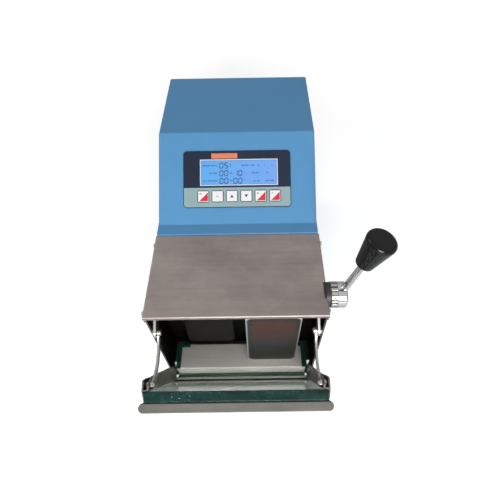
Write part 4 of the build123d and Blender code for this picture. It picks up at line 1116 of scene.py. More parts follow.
@dataclass
class PieceMaker:
    """Turns finished meshes into pieces that ride on a body."""

    drawing: Drawing
    finishes: FinishShelf
    made: list[str] = field(default_factory=list)

    def finish(self, name: str, mesh: bpy.types.Mesh, matrix: Matrix, body: str, slot: str,
               finish: str, replaces: str | None = None, smooth: float = 30.0) -> Piece:
        """Place a mesh, dress it and tie it to its body.

        Args:
            name: The piece's name.
            mesh: Its mesh, in millimetres of its own sheet or of the drawing.
            matrix: The transform from the mesh to the drawing.
            body: The CAD body that it rides on.
            slot: The record's material slot; not used.
            finish: The finish's name.
            replaces: The CAD node that it stands for, if any.
            smooth: The angle in degrees under which faces shade smooth.

        Returns:
            The piece's object.
        """
        mesh.transform(self.drawing.matrix() @ matrix)
        work = bmesh.new()
        work.from_mesh(mesh)
        bmesh.ops.remove_doubles(work, verts=work.verts, dist=WELD)
        bmesh.ops.recalc_face_normals(work, faces=work.faces)
        work.to_mesh(mesh)
        work.free()
        for face in mesh.polygons:
            face.use_smooth = True
        mesh.set_sharp_from_angle(angle=math.radians(smooth))
        piece = bpy.data.objects.new(name, mesh)
        bpy.context.scene.collection.objects.link(piece)
        if not mesh.materials:
            mesh.materials.append(self.finishes.get(finish))
        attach(piece, body)
        if replaces:
            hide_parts(replaces)
        self.made.append(name)
        log.info("%s rides on %s: %d faces", name, body, len(mesh.polygons))
        return piece

    def from_bmesh(self, name: str, work: bmesh.types.BMesh, matrix: Matrix, body: str, slot: str,
                   finish: str, replaces: str | None = None, smooth: float = 30.0) -> Piece:
        """Make a piece from a mesh in progress, with the arguments of finish.

        Args:
            name: The piece's name.
            work: The mesh in progress, which is freed.
            matrix: The transform to the drawing.
            body: The CAD body that the piece rides on.
            slot: The record's material slot; not used.
            finish: The finish's name.
            replaces: The CAD node that the piece stands for, if any.
            smooth: The angle in degrees under which faces shade smooth.

        Returns:
            The piece's object.
        """
        mesh = bpy.data.meshes.new(name)
        work.to_mesh(mesh)
        work.free()
        return self.finish(name, mesh, matrix, body, slot, finish, replaces, smooth)

    def grow(self, name: str, seed: bpy.types.Mesh, tree: bpy.types.NodeTree,
             values: dict[str, object]) -> bpy.types.Mesh:
        """Run a Geometry Nodes tree on a seed mesh and return the plain result.

        Args:
            name: The name of the result.
            seed: The points or edges that the tree starts from.
            tree: The tree.
            values: Its named inputs.

        Returns:
            A mesh with no modifier left.
        """
        holder = bpy.data.objects.new(name + "_seed", seed)
        bpy.context.scene.collection.objects.link(holder)
        modifier = holder.modifiers.new("grow", "NODES")
        modifier.node_group = tree
        for item in tree.interface.items_tree:
            if item.item_type == "SOCKET" and item.in_out == "INPUT" and item.name in values:
                modifier[item.identifier] = values[item.name]
        bpy.context.view_layer.update()
        graph = bpy.context.evaluated_depsgraph_get()
        grown = bpy.data.meshes.new_from_object(holder.evaluated_get(graph))
        grown.name = name
        holder.modifiers.remove(modifier)
        bpy.data.objects.remove(holder)
        return grown


# ---------------------------------------------------------------- Geometry Nodes trees
class GrowthTree:
    """A Geometry Nodes tree in the making, from its group input to its material."""

    def __init__(self, name: str, numbers: dict[str, float]) -> None:
        """Start a tree.

        Args:
            name: The tree's name.
            numbers: Its named size inputs with their usual values.
        """
        self.tree = bpy.data.node_groups.new(name, "GeometryNodeTree")
        face = self.tree.interface
        face.new_socket("Geometry", in_out="INPUT", socket_type="NodeSocketGeometry")
        for title, usual in numbers.items():
            face.new_socket(title, in_out="INPUT",
                            socket_type="NodeSocketFloat").default_value = usual
        face.new_socket("Material", in_out="INPUT", socket_type="NodeSocketMaterial")
        face.new_socket("Geometry", in_out="OUTPUT", socket_type="NodeSocketGeometry")
        self.wires = Wiring(self.tree)
        self.takes = self.wires.node("NodeGroupInput")
        self.gives = self.wires.node("NodeGroupOutput")

    def size(self, name: str) -> Socket:
        """Return a named input."""
        return self.takes.outputs[name]

    def halves(self, value: Socket) -> Socket:
        """Return half of a number."""
        return self.wires.maths("MULTIPLY", value, 0.5)

    def vector(self, x: object = 0.0, y: object = 0.0, z: object = 0.0) -> Socket:
        """Return a vector made of three numbers."""
        return self.wires.node("ShaderNodeCombineXYZ", X=x, Y=y, Z=z).outputs[0]

    def attribute(self, name: str, kind: str = "FLOAT_VECTOR") -> Socket:
        """Return a named attribute of the seed."""
        read = self.wires.node("GeometryNodeInputNamedAttribute", {"data_type": kind}, Name=name)
        return read.outputs["Attribute"]

    def close(self, geometry: Socket) -> bpy.types.NodeTree:
        """End the tree in Realize Instances and Set Material.

        Args:
            geometry: The grown instances or mesh.

        Returns:
            The finished tree.
        """
        real = self.wires.node("GeometryNodeRealizeInstances", Geometry=geometry)
        dressed = self.wires.node("GeometryNodeSetMaterial", Geometry=real.outputs[0],
                                  Material=self.size("Material"))
        self.wires.feed(self.gives.inputs[0], dressed.outputs[0])
        return self.tree


def turned_head_tree(name: str, steps: Sequence[tuple[float, float]],
                     sides: int) -> bpy.types.NodeTree:
    """Build a tree that sets a turned head, such as a screw's or a nut's, on each point.

    Args:
        name: The tree's name.
        steps: Ring radii and heights, as shares of the Radius and Height inputs.
        sides: How many sides each ring has.

    Returns:
        The tree, with inputs Radius and Height, which reads each point's "facing".
    """
    made = GrowthTree(name, {"Radius": 4.0, "Height": 2.5})
    wires = made.wires
    disc = wires.node("GeometryNodeMeshCircle", {"fill_type": "NGON"}, Vertices=sides,
                      Radius=steps[0][0])
    shape = disc.outputs[0]
    chosen: Socket | None = None
    radius, height = steps[0]
    up = made.vector(0.0, 0.0, 1.0)
    for next_radius, next_height in steps[1:]:
        step = max(abs(next_height - height), SHEET_STEP)
        rise = step if next_height >= height else -step
        grow = wires.node("GeometryNodeExtrudeMesh", {"mode": "FACES"}, Mesh=shape, Offset=up,
                          Offset_Scale=rise, Individual=False)
        if chosen is not None:
            wires.feed(grow.inputs["Selection"], chosen)
        scale = wires.node("GeometryNodeScaleElements", {"domain": "FACE"},
                           Geometry=grow.outputs["Mesh"], Selection=grow.outputs["Top"],
                           Scale=next_radius / radius)
        shape = scale.outputs[0]
        chosen = grow.outputs["Top"]
        radius, height = next_radius, next_height
    sized = wires.node("GeometryNodeTransform", Geometry=shape,
                       Scale=made.vector(made.size("Radius"), made.size("Radius"),
                                         made.size("Height")))
    turn = wires.node("FunctionNodeAlignRotationToVector", {"axis": "Z"},
                      Vector=made.attribute("facing"))
    placed = wires.node("GeometryNodeInstanceOnPoints", Points=made.size("Geometry"),
                        Instance=sized.outputs[0], Rotation=turn.outputs[0])
    return made.close(placed.outputs[0])


def segment_tree() -> bpy.types.NodeTree:
    """Build a tree that lays a flat bar with pointed ends on each edge of a flat drawing.

    Returns:
        The tree, with inputs Width, Shorten and Thickness.
    """
    made = GrowthTree("display_segments", {"Width": 0.9, "Shorten": 0.3, "Thickness": 0.05})
    wires = made.wires
    centre = wires.node("GeometryNodeMeshToPoints", {"mode": "EDGES"},
                        Mesh=made.size("Geometry"))
    bar = wires.node("GeometryNodeMeshCircle", {"fill_type": "NGON"}, Vertices=6, Radius=1.0)
    along = made.attribute("along")
    length = wires.node("ShaderNodeVectorMath", {"operation": "LENGTH"}, Vector=along)
    reach = wires.maths("SUBTRACT", made.halves(length.outputs["Value"]), made.size("Shorten"))
    width = wires.maths("DIVIDE", made.size("Width"), math.sqrt(3.0))
    turn = wires.node("FunctionNodeAlignRotationToVector", {"axis": "X", "pivot_axis": "Z"},
                      Vector=along)
    spread = wires.node("GeometryNodeInstanceOnPoints", Points=centre.outputs[0],
                        Instance=bar.outputs[0], Rotation=turn.outputs[0],
                        Scale=made.vector(reach, width, 1.0))
    real = wires.node("GeometryNodeRealizeInstances", Geometry=spread.outputs[0])
    thick = wires.node("GeometryNodeExtrudeMesh", {"mode": "FACES"}, Mesh=real.outputs[0],
                       Offset=made.vector(0.0, 0.0, 1.0), Offset_Scale=made.size("Thickness"),
                       Individual=False)
    under = wires.node("GeometryNodeFlipFaces", Mesh=real.outputs[0])
    whole = wires.node("GeometryNodeJoinGeometry")
    wires.tree.links.new(under.outputs[0], whole.inputs[0])
    wires.tree.links.new(thick.outputs["Mesh"], whole.inputs[0])
    merged = wires.node("GeometryNodeMergeByDistance", Geometry=whole.outputs[0], Distance=1e-4)
    return made.close(merged.outputs[0])


def frame_line_tree() -> bpy.types.NodeTree:
    """Build a tree that lays a rounded square line round each point of a flat drawing.

    Returns:
        The tree, with inputs Side, Corner, Width and Thickness.
    """
    made = GrowthTree("key_outline", {"Side": 15.2, "Corner": 1.6, "Width": 0.5,
                                      "Thickness": 0.05})
    wires = made.wires
    square = wires.node("GeometryNodeCurvePrimitiveQuadrilateral", Width=made.size("Side"),
                        Height=made.size("Side"))
    rounded = wires.node("GeometryNodeFilletCurve", {"mode": "POLY"}, Curve=square.outputs[0],
                         Count=5, Radius=made.size("Corner"))
    section = wires.node("GeometryNodeCurvePrimitiveQuadrilateral", Width=made.size("Width"),
                         Height=made.size("Thickness"))
    line = wires.node("GeometryNodeCurveToMesh", Curve=rounded.outputs[0],
                      Profile_Curve=section.outputs[0])
    placed = wires.node("GeometryNodeInstanceOnPoints", Points=made.size("Geometry"),
                        Instance=line.outputs[0])
    return made.close(placed.outputs[0])


def point_seed(name: str, points: Sequence[Vector],
               facings: Sequence[Vector] | None = None) -> bpy.types.Mesh:
    """Return a mesh of loose points, each with the way it faces.

    Args:
        name: The name of the result.
        points: Where the points lie.
        facings: The way that each point faces; up if left out.

    Returns:
        The mesh of points.
    """
    mesh = bpy.data.meshes.new(name)
    mesh.from_pydata([tuple(point) for point in points], [], [])
    facing = mesh.attributes.new("facing", "FLOAT_VECTOR", "POINT")
    for index, way in enumerate(facings or [Vector((0, 0, 1))] * len(points)):
        facing.data[index].vector = way
    return mesh


def stroke_seed(name: str, strokes: Sequence[tuple[Vector, Vector]]) -> bpy.types.Mesh:
    """Return a mesh of loose edges, each with its own length and direction as "along".

    Args:
        name: The name of the result.
        strokes: The start and end of each stroke.

    Returns:
        The mesh of edges.
    """
    mesh = bpy.data.meshes.new(name)
    points = [tuple(point) for stroke in strokes for point in stroke]
    edges = [(2 * index, 2 * index + 1) for index in range(len(strokes))]
    mesh.from_pydata(points, edges, [])
    along = mesh.attributes.new("along", "FLOAT_VECTOR", "EDGE")
    for index, (start, end) in enumerate(strokes):
        along.data[index].vector = end - start
    return mesh


class HeadShape(Enum):
    """Turned heads, as rings of radius and height over the seat."""

    DOME = ((1.22, 0.0), (1.22, 0.12), (1.16, 0.18), (1.0, 0.2), (1.0, 0.42), (0.95, 0.62),
            (0.84, 0.80), (0.68, 0.92), (0.50, 0.98), (0.40, 1.0), (0.36, 0.96), (0.33, 0.55))


# ---------------------------------------------------------------- sub-assemblies
@dataclass
class RearHousing:
    """Painted housing behind the chamber, with its screws and vented rear panel."""

    cover_screw_x: float = 111.6
    cover_screw_z: float = 204.0
    cover_screw_y: tuple[float, ...] = (9.6, 112.0)
    rear_screw_x: float = 102.0
    rear_screw_z: tuple[float, ...] = (34.0, 148.5, 263.0)
    rear_y: float = 391.0
    head_radius: float = 4.0
    head_height: float = 2.5

    def screw_seed(self) -> bpy.types.Mesh:
        """Return a point for each screw on the cover's skirts and the rear panel.

        Returns:
            A mesh of points with their facings.
        """
        points, facings = [], []
        for side in (-1, 1):
            for y in self.cover_screw_y:
                points.append(Vector((side * self.cover_screw_x, y, self.cover_screw_z)))
                facings.append(Vector((side, 0, 0)))
            for z in self.rear_screw_z:
                points.append(Vector((side * self.rear_screw_x, self.rear_y, z)))
                facings.append(Vector((0, 1, 0)))
        return point_seed("screw_points", points, facings)

    def build(self, maker: PieceMaker) -> None:
        """Set the screw heads and paint the sheets.

        Args:
            maker: The maker of pieces.
        """
        tree = turned_head_tree("dome_heads", HeadShape.DOME.value, 24)
        heads = maker.grow("housing_screw_heads", self.screw_seed(), tree,
                           {"Radius": self.head_radius / 1.22, "Height": self.head_height,
                            "Material": maker.finishes.get("screw_steel")})
        maker.finish("housing_screw_heads", heads, Matrix.Identity(4), "machine", "screw_steel",
                     "screw_steel", "housing_screws")
        maker.finishes.dress(["rear_housing", "rear_panel"], "blue_paint")


@dataclass
class ControlPanel:
    """Display, printed film and the six keys on the slope."""

    plane: PanelPlane
    bezel_drop: float = 27.0
    bezel_width: float = 150.0
    bezel_height: float = 80.0
    film_top: float = 1.2
    window_drop: float = 57.6
    window_shift: float = 2.7
    window_top: float = 1.0
    ink: float = 0.05
    key_drop: float = 91.2
    key_pitch: float = 20.0
    key_count: int = 6
    key_size: float = 14.5
    key_top: float = 1.6
    digit_width: float = 4.5
    digit_height: float = 7.3
    label_step: float = 1.25
    label_dot: float = 1.0
    digit_slant: float = 0.06
    tag_width: float = 36.5
    tag_height: float = 7.4
    tag_x: float = -17.4
    tag_drop: float = 34.2

    digit_stroke: float = 1.3
    digit_gap: float = 0.2
    label_height: float = 2.1
    tag_corner: float = 0.8
    outline_gap: float = 1.3
    outline_corner: float = 1.8
    outline_width: float = 1.0
    print_margin: float = 0.7
    print_bevel: float = 1.1
    print_nip: float = 0.3
    dash_x: float = -3.9
    dash_y: float = 3.7
    dash_long: float = 2.9
    dash_short: float = 1.6
    dash_height: float = 1.1
    arrow_half: float = 2.5
    arrow_rise: float = 0.85

    SEGMENTS = {"0": "abcdef", "1": "bc", "5": "acdfg"}
    LEFT_ARROW = ((-1.9, 0.0), (-0.5, 0.9), (-0.5, 0.3), (1.9, 0.3), (1.9, -0.3), (-0.5, -0.3),
                  (-0.5, -0.9))
    DIGITS = (
        ("0", -24.4, 9.7), ("5", -17.6, 9.7),
        ("0", -24.4, -1.2), ("0", -17.6, -1.2), ("1", -4.6, -1.2), ("0", 1.9, -1.2),
        ("0", -24.4, -12.0), ("0", -17.6, -12.0), ("0", -5.0, -12.0), ("0", 1.9, -12.0),
    )
    LABELS = (
        (-50.8, -46.4, 9.8), (-45.6, -40.0, 9.8), (-39.0, -33.0, 9.8), (-32.2, -30.0, 9.8),
        (-42.0, -37.0, -1.0), (-36.2, -30.4, -1.0),
        (-50.2, -44.6, -11.8), (-43.6, -37.4, -11.8), (-36.6, -30.4, -11.8),
        (-12.2, -10.4, 11.0), (-11.8, -10.6, 8.8), (-12.6, -8.6, -1.2), (-12.6, -9.4, -12.0),
        (7.0, 8.0, -0.6), (7.2, 8.4, -11.4),
        (3.4, 8.0, 9.6), (8.8, 14.0, 9.6), (16.8, 21.6, 9.6), (25.6, 29.4, 9.6), (35.2, 36.8, 9.6),
        (46.0, 47.6, 9.6), (17.8, 22.4, -1.2), (23.2, 28.0, -1.2), (38.8, 41.0, -0.8),
        (19.8, 24.0, -12.6), (25.2, 28.6, -12.6),
        (36.8, 42.4, -12.2), (43.2, 49.8, -12.2),
    )

    def on_sheet(self, x: float, drop: float, height: float) -> Matrix:
        """Return the transform of a flat mark whose middle lies at a place on the slope."""
        return self.plane.matrix() @ Matrix.Translation((x, -drop, height))

    def key_places(self) -> list[float]:
        """Return how far across each key's middle lies.

        Returns:
            Millimetres to the right of the middle, from the left key on.
        """
        middle = (self.key_count - 1) / 2
        return [self.window_shift + (index - middle) * self.key_pitch
                for index in range(self.key_count)]

    def digit_strokes(self) -> list[tuple[Vector, Vector]]:
        """Return the lit segments of every digit as strokes.

        Returns:
            The start and end of each segment.
        """
        half = self.digit_width / 2
        tall = self.digit_height / 2
        corners = {"tl": (-half, tall), "tr": (half, tall), "ml": (-half, 0.0), "mr": (half, 0.0),
                   "bl": (-half, -tall), "br": (half, -tall)}
        ends = {"a": ("tl", "tr"), "b": ("tr", "mr"), "c": ("mr", "br"), "d": ("bl", "br"),
                "e": ("ml", "bl"), "f": ("tl", "ml"), "g": ("ml", "mr")}
        strokes = []
        for digit, x, y in self.DIGITS:
            for segment in self.SEGMENTS[digit]:
                stroke = []
                for corner in ends[segment]:
                    dx, dy = corners[corner]
                    stroke.append(Vector((x + dx + dy * self.digit_slant, y + dy, 0.0)))
                strokes.append((stroke[0], stroke[1]))
        return strokes

    def label_strokes(self) -> list[tuple[Vector, Vector]]:
        """Return each label as a row of bare dots, so that no lettering is shown.

        Returns:
            The start and end of each dot.
        """
        strokes = []
        for left, right, y in self.LABELS:
            for index in range(max(1, round((right - left) / self.label_step))):
                start = left + index * self.label_step
                strokes.append((Vector((start, y, 0.0)), Vector((start + self.label_dot, y, 0.0))))
        return strokes

    def build_display(self, maker: PieceMaker) -> None:
        """Lay the digits and the small bare label marks on the display.

        Args:
            maker: The maker of pieces.
        """
        tree = segment_tree()
        place = self.on_sheet(self.window_shift, self.window_drop, self.window_top)
        digits = maker.grow("display_digits", stroke_seed("digit_strokes", self.digit_strokes()),
                            tree, {"Width": self.digit_stroke, "Shorten": self.digit_gap,
                                   "Thickness": self.ink,
                                   "Material": maker.finishes.get("digit_ink")})
        maker.finish("display_digits", digits, place, "machine", "display_glass", "digit_ink")
        marks = maker.grow("display_marks", stroke_seed("label_strokes", self.label_strokes()),
                           tree, {"Width": self.label_height, "Shorten": 0.0,
                                  "Thickness": self.ink,
                                  "Material": maker.finishes.get("faint_ink")})
        maker.finish("display_marks", marks, place, "machine", "display_glass", "faint_ink")

    def build_film(self, maker: PieceMaker) -> None:
        """Print the tag and the key outlines on the film.

        Args:
            maker: The maker of pieces.
        """
        tag = prism(rounded_outline(self.tag_width, self.tag_height, self.tag_corner), 0.0, self.ink)
        maker.from_bmesh("film_tag", tag, self.on_sheet(self.tag_x, self.tag_drop, self.film_top),
                         "machine", "bezel_film", "orange_ink")
        points = [Vector((x, 0.0, 0.0)) for x in self.key_places()]
        lines = maker.grow("key_outlines", point_seed("key_points", points), frame_line_tree(),
                           {"Side": self.key_size + self.outline_gap,
                            "Corner": self.outline_corner, "Width": self.outline_width,
                            "Thickness": 2 * self.ink,
                            "Material": maker.finishes.get("outline_ink")})
        maker.finish("key_outlines", lines,
                     self.on_sheet(0.0, self.key_drop, self.film_top),
                     "machine", "bezel_film", "outline_ink")

    def key_print(self, number: int) -> list[tuple[str, bmesh.types.BMesh]]:
        """Return the printed marks of one key.

        Args:
            number: The key's number, from 1.

        Returns:
            Finish names and meshes, flat and centred on the key.
        """
        edge = self.key_size / 2 - self.print_margin
        bevel, nip = self.print_bevel, self.print_nip
        if number in (1, 5, 6):
            corner = ((-edge + bevel, -edge), (edge - bevel, -edge), (edge - nip, -edge + nip),
                      (edge, -edge + bevel), (edge, edge - bevel))
            length = self.dash_short if number == 6 else self.dash_long
            dash = [(x + self.dash_x, y + self.dash_y)
                    for x, y in rounded_outline(length, self.dash_height, nip, 3)]
            return [("red_ink", prism(corner, 0.0, self.ink)),
                    ("grey_ink", prism(dash, 0.0, self.ink))]
        if number == 2:
            return [("grey_ink", prism(self.LEFT_ARROW, 0.0, self.ink))]
        flip = 1 if number == 3 else -1
        rise = self.arrow_half * self.arrow_rise * flip
        points = [(-self.arrow_half, -rise), (self.arrow_half, -rise), (0.0, rise)]
        return [("grey_ink", prism(points[::flip], 0.0, self.ink))]

    def build_keys(self, maker: PieceMaker) -> None:
        """Print each key; the print moves with its key.

        Args:
            maker: The maker of pieces.
        """
        for number, x in enumerate(self.key_places(), start=1):
            place = self.on_sheet(x, self.key_drop, self.key_top)
            for finish, mesh in self.key_print(number):
                maker.from_bmesh(f"key_{number}_{finish}", mesh, place, f"button_{number}",
                                 "key_plastic", finish)
        maker.finishes.dress([f"key_{number}" for number in range(1, self.key_count + 1)],
                             "key_plastic")

    def build(self, maker: PieceMaker) -> None:
        """Dress the panel and print everything on it.

        Args:
            maker: The maker of pieces.
        """
        shelf = maker.finishes
        film = PanelFilm().build("bezel_film", shelf.effects,
                                 shelf.sheet_coords(self.bezel_drop + self.bezel_height / 2))
        lit = LitDisplay().build("display_glass", shelf.effects,
                                 shelf.sheet_coords(self.window_drop, self.window_shift))
        shelf.put("display_bezel", film)
        shelf.put("display_window", lit)
        shelf.dress(["lcd_module"], "black_plastic")
        shelf.dress(["control_board"], "board_green")
        self.build_display(maker)
        self.build_film(maker)
        self.build_keys(maker)


@dataclass
class SampleChamber:
    """Steel cover, sides, back plate, floor and sill round the bag of sample."""

    def build(self, maker: PieceMaker) -> None:
        """Dress the sheets of the chamber.

        Args:
            maker: The maker of pieces.
        """
        shelf = maker.finishes
        shelf.dress(["top_cover"], "cover_stainless")
        shelf.dress(["chamber_side_left", "chamber_side_right"], "chamber_stainless")
        # the back plate's near black is a painted shade
        shelf.dress(["chamber_back_plate"], "dark_plate")
        # the tray's pale colour is a painted light
        shelf.dress(["floor_tray"], "tray_stainless")
        shelf.dress(["front_sill"], "sill_stainless")
        shelf.dress(["tray_trim"], "green_rubber")


@dataclass
class GlassDoor:
    """Bottom-hinged glass door with its brackets, rail, seals and handle bar."""

    width: float = 210.0
    thick: float = 12.0
    inner: float = -10.3
    bottom: float = 23.2
    top: float = 199.6
    corner: float = 4.0
    chamfer: float = 1.0
    hinge_y: float = 8.0
    hinge_z: float = 22.0
    open_angle: float = 22.1

    def swing(self) -> Matrix:
        """Return the turn from the shut door to the open rest pose."""
        hinge = Matrix.Translation((0.0, self.hinge_y, self.hinge_z))
        return hinge @ Matrix.Rotation(math.radians(self.open_angle), 4, "X") @ hinge.inverted()

    def pane_outline(self, inset: float) -> Outline:
        """Return the pane's outline in X and Z, with rounded top corners.

        Args:
            inset: How far inside the pane's outline.

        Returns:
            The outline's points, from the bottom left round.
        """
        side = self.width / 2 - inset
        low, high = self.bottom + inset, self.top - inset
        radius = self.corner - inset
        points = [(-side, low), (side, low)]
        for turn in (1, -1):
            for step in range(7):
                angle = math.radians(90 * (step / 6 if turn > 0 else 1 - step / 6))
                points.append((turn * (side - radius + radius * math.cos(angle)),
                               high - radius + radius * math.sin(angle)))
        return points

    def pane(self) -> bmesh.types.BMesh:
        """Return the pane: clear broad faces with a ground, bevelled green edge.

        Returns:
            The pane's mesh, drawn shut, with the edge in its second material.
        """
        levels = ((self.inner, self.chamfer), (self.inner - self.chamfer, 0.0),
                  (self.inner - self.thick + self.chamfer, 0.0),
                  (self.inner - self.thick, self.chamfer))
        mesh = bmesh.new()
        rings = []
        for y, inset in levels:
            rings.append([mesh.verts.new((x, y, z)) for x, z in self.pane_outline(inset)])
        mesh.faces.new(rings[0])
        mesh.faces.new(list(reversed(rings[-1])))
        for near, far in zip(rings, rings[1:]):
            for index in range(len(near)):
                after = (index + 1) % len(near)
                face = mesh.faces.new((near[index], near[after], far[after], far[index]))
                face.material_index = 1
        return mesh

    def build(self, maker: PieceMaker) -> None:
        """Make the pane and dress the door's metal and rubber.

        Args:
            maker: The maker of pieces.
        """
        shelf = maker.finishes
        mesh = bpy.data.meshes.new("glass_pane")
        work = self.pane()
        work.to_mesh(mesh)
        work.free()
        mesh.materials.append(shelf.get("door_glass"))
        mesh.materials.append(shelf.get("glass_edge"))
        maker.finish("glass_pane", mesh, self.swing(), "door", "door_glass", "door_glass",
                     "door_glass")
        shelf.dress(["door_bracket_left", "door_bracket_right"], "bracket_stainless")
        shelf.dress(["door_rail"], "stainless")
        shelf.dress(["door_handle_bar"], "bar_stainless")
        shelf.dress(["door_gasket"], "black_rubber")
        shelf.dress(["door_seal"], "green_rubber")
        shelf.dress(["hinge_pins"], "screw_steel")


@dataclass
class ClosingLever:
    """Lever, hub and knob outside the body, and the arms and links inside it."""

    shaft_x: float = 120.0
    shaft_y: float = 35.0
    shaft_z: float = 199.0

    def build(self, maker: PieceMaker) -> None:
        """Dress the lever and its linkage.

        Args:
            maker: The maker of pieces.
        """
        shelf = maker.finishes
        shelf.dress(["lever_shaft", "crank_arms", "arm_screws"], "bright_steel")
        shelf.dress(["lever_bushes"], "black_plastic")
        axis = maker.drawing.at(self.shaft_x, self.shaft_y, self.shaft_z)
        shelf.put("clamp_collar", FlutedSteel().build("collar_steel", shelf.effects, axis))
        shelf.dress(["lever_hub", "lever_rod"], "chrome")
        shelf.dress(["lever_knob"], "black_gloss")
        shelf.dress(["link_right", "link_left"], "bright_steel")
        shelf.dress(["nylon_nut"], "white_nylon")


@dataclass
class PaddleDrive:
    """Paddles, push yokes, crank, belt and motor."""

    right_face: PressedFace = PressedFace()
    # the left paddle is the same steel drawn darker all over, a painted shade, with no painted
    # reflection and a dull rim
    left_face_in_painted_shade: PressedFace = PressedFace(colour=(0.013, 0.011, 0.007), painted_reflection_amount=0.0,
                                         rim=(0.055, 0.055, 0.045))

    def build(self, maker: PieceMaker) -> None:
        """Dress the paddles and the drive behind them.

        Args:
            maker: The maker of pieces.
        """
        shelf = maker.finishes
        for node, face in (("paddle_right", self.right_face), ("paddle_left", self.left_face_in_painted_shade)):
            low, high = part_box(node)
            shelf.put(node, face.build(node + "_steel", shelf.effects, (low + high) / 2))
        shelf.dress(["push_yoke_right", "push_yoke_left", "crankshaft"], "bright_steel")
        shelf.dress(["crank_rollers", "shaft_bearings"], "bearing_steel")
        shelf.dress(["guide_blocks", "bearing_blocks", "crank_pulley", "motor_pulley"],
                    "cast_aluminium")
        shelf.dress(["guide_bushes"], "bronze")
        shelf.dress(["drive_belt"], "belt_rubber")
        shelf.dress(["motor"], "motor_enamel")
        shelf.dress(["motor_bracket"], "base_steel")


@dataclass
class RearFittings:
    """Mains inlet, power switch and supply, and the base with its feet."""

    def build(self, maker: PieceMaker) -> None:
        """Dress the fittings.

        Args:
            maker: The maker of pieces.
        """
        shelf = maker.finishes
        shelf.dress(["mains_inlet", "switch_frame", "power_rocker"], "black_plastic")
        shelf.dress(["power_supply"], "board_green")
        shelf.dress(["base_plate"], "base_steel")
        shelf.dress(["rubber_feet"], "foot_rubber")


# ---------------------------------------------------------------- studio
@dataclass(frozen=True)
class SoftBox:
    """A square soft light, placed in metres from the drawing's origin."""

    name: str
    place: tuple[float, float, float]
    aim: tuple[float, float, float]
    size: float
    power: float

    def hang(self, origin: Vector) -> None:
        """Hang the light and turn it to the point it lights.

        Args:
            origin: The drawing's origin in the frame.
        """
        data = bpy.data.lights.new(self.name, "AREA")
        data.shape = "SQUARE"
        data.size = self.size
        data.energy = self.power
        light = bpy.data.objects.new(self.name, data)
        start = origin + Vector(self.place)
        turn = (origin + Vector(self.aim) - start).to_track_quat("-Z", "Y")
        light.matrix_world = Matrix.Translation(start) @ turn.to_matrix().to_4x4()
        bpy.context.scene.collection.objects.link(light)


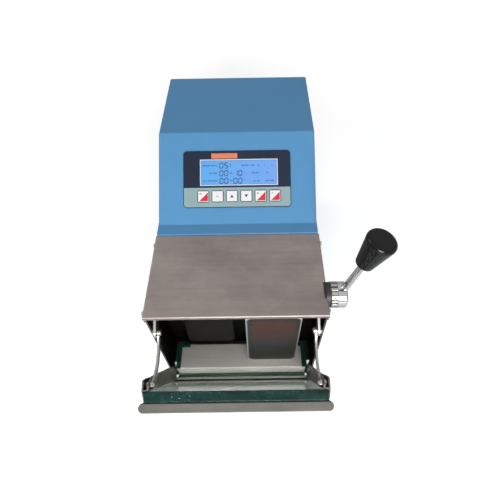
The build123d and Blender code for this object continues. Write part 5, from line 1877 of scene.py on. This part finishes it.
@dataclass
class Studio:
    """Pale floor, soft light and the camera."""

    drawing: Drawing
    eye: tuple[float, float, float] = (24.6, -209.2, 627.6)
    pitch: float = 53.66
    yaw: float = -0.22
    roll: float = 1.03
    focal_pixels: float = 390.7
    frame_pixels: float = 500.0
    axis_pixel: float = 254.8
    sensor: float = 36.0
    surround: float = 0.26
    horizon: float = 0.32
    zenith: float = 0.62
    zenith_height: float = 0.75
    bench_reach: float = 6.0
    bench_grey: float = 0.90
    glow_near: float = 0.50
    glow_far: float = 0.90
    fade_from: float = 0.55
    fade_to: float = 1.6
    boxes: tuple[SoftBox, ...] = (
        SoftBox("front_softbox", (0.15, -1.85, 1.05), (0.0, 0.15, 0.15), 1.1, 46.0),
        SoftBox("side_softbox", (-1.5, 0.6, 1.3), (0.0, 0.15, 0.1), 0.8, 5.0),
    )

    def camera(self) -> None:
        """Set up the camera at the photographed viewpoint."""
        pitch, yaw, roll = (math.radians(value) for value in (self.pitch, self.yaw, self.roll))
        forward = Vector((math.sin(yaw) * math.cos(pitch), math.cos(yaw) * math.cos(pitch),
                          -math.sin(pitch)))
        right = Vector((math.cos(yaw), -math.sin(yaw), 0.0))
        down = forward.cross(right)
        right_rolled = math.cos(roll) * right + math.sin(roll) * down
        down_rolled = -math.sin(roll) * right + math.cos(roll) * down
        data = bpy.data.cameras.new("camera")
        data.sensor_width = self.sensor
        data.lens = self.sensor * self.focal_pixels / self.frame_pixels
        data.shift_x = (self.frame_pixels / 2 - self.axis_pixel) / self.frame_pixels
        data.clip_start = 0.01
        data.clip_end = 20.0
        camera = bpy.data.objects.new("camera", data)
        turn = Matrix((right_rolled, -down_rolled, -forward)).transposed().to_4x4()
        camera.matrix_world = Matrix.Translation(self.drawing.at(*self.eye)) @ turn
        bpy.context.scene.collection.objects.link(camera)
        bpy.context.scene.camera = camera

    def floor(self) -> None:
        """Lay a wide pale bench top."""
        mesh = bpy.data.meshes.new("bench_top")
        reach = self.bench_reach
        mesh.from_pydata([(-reach, -reach, 0), (reach, -reach, 0), (reach, reach, 0),
                          (-reach, reach, 0)], [], [(0, 1, 2, 3)])
        bench = bpy.data.objects.new("bench_top", mesh)
        bpy.context.scene.collection.objects.link(bench)
        material, wires, shader = new_material("pale_bench")
        shader.inputs["Base Color"].default_value = (*(self.bench_grey,) * 3, 1.0)
        shader.inputs["Roughness"].default_value = 0.9
        shader.inputs["Specular IOR Level"].default_value = 0.1
        path = wires.node("ShaderNodeLightPath")
        away = wires.node("ShaderNodeVectorMath", {"operation": "LENGTH"}, Vector=wires.place())
        level = wires.spread(away.outputs["Value"], self.fade_from, self.fade_to, self.glow_near,
                             self.glow_far)
        seen = wires.maths("MULTIPLY", path.outputs["Is Camera Ray"], level)
        shader.inputs["Emission Color"].default_value = (1.0, 1.0, 1.0, 1.0)
        wires.feed(shader.inputs["Emission Strength"], seen)
        mesh.materials.append(material)

    def surroundings(self) -> None:
        """Give the room a white look and an even, dimmer light."""
        world = bpy.data.worlds.new("room")
        bpy.context.scene.world = world
        world.use_nodes = True
        wires = Wiring(world.node_tree)
        ground = world.node_tree.nodes["Background"]
        ground.inputs["Color"].default_value = (1.0, 1.0, 1.0, 1.0)
        path = wires.node("ShaderNodeLightPath")
        seen = wires.maths("MAXIMUM", path.outputs["Is Camera Ray"],
                           path.outputs["Is Transmission Ray"])
        way = wires.node("ShaderNodeSeparateXYZ",
                         Vector=wires.node("ShaderNodeTexCoord").outputs["Generated"])
        dome = wires.spread(way.outputs["Z"], 0.0, self.zenith_height, self.horizon, self.zenith)
        mirrored = wires.maths("MULTIPLY", path.outputs["Is Glossy Ray"], dome)
        seen = wires.maths("MAXIMUM", seen, mirrored)
        wires.feed(ground.inputs["Strength"], wires.maths("MAXIMUM", seen, self.surround))

    def build(self) -> None:
        """Set up the whole studio."""
        bpy.context.scene.view_settings.view_transform = "Standard"
        self.camera()
        self.floor()
        self.surroundings()
        for box in self.boxes:
            box.hang(self.drawing.origin)
        log.info("studio set up")


def main() -> None:
    """Build the studio and every sub-assembly."""
    logging.basicConfig(level=logging.INFO, format="%(name)s: %(message)s")
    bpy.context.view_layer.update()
    drawing = Drawing()
    plane = PanelPlane()
    finishes = FinishShelf(SurfaceEffects(), drawing, plane)
    maker = PieceMaker(drawing, finishes)
    Studio(drawing).build()
    for assembly in (RearHousing(), ControlPanel(plane), SampleChamber(), GlassDoor(),
                     ClosingLever(), PaddleDrive(), RearFittings()):
        assembly.build(maker)
        log.info("%s built", type(assembly).__name__)
    log.info("%d new pieces", len(maker.made))


if __name__ == "__main__":
    main()
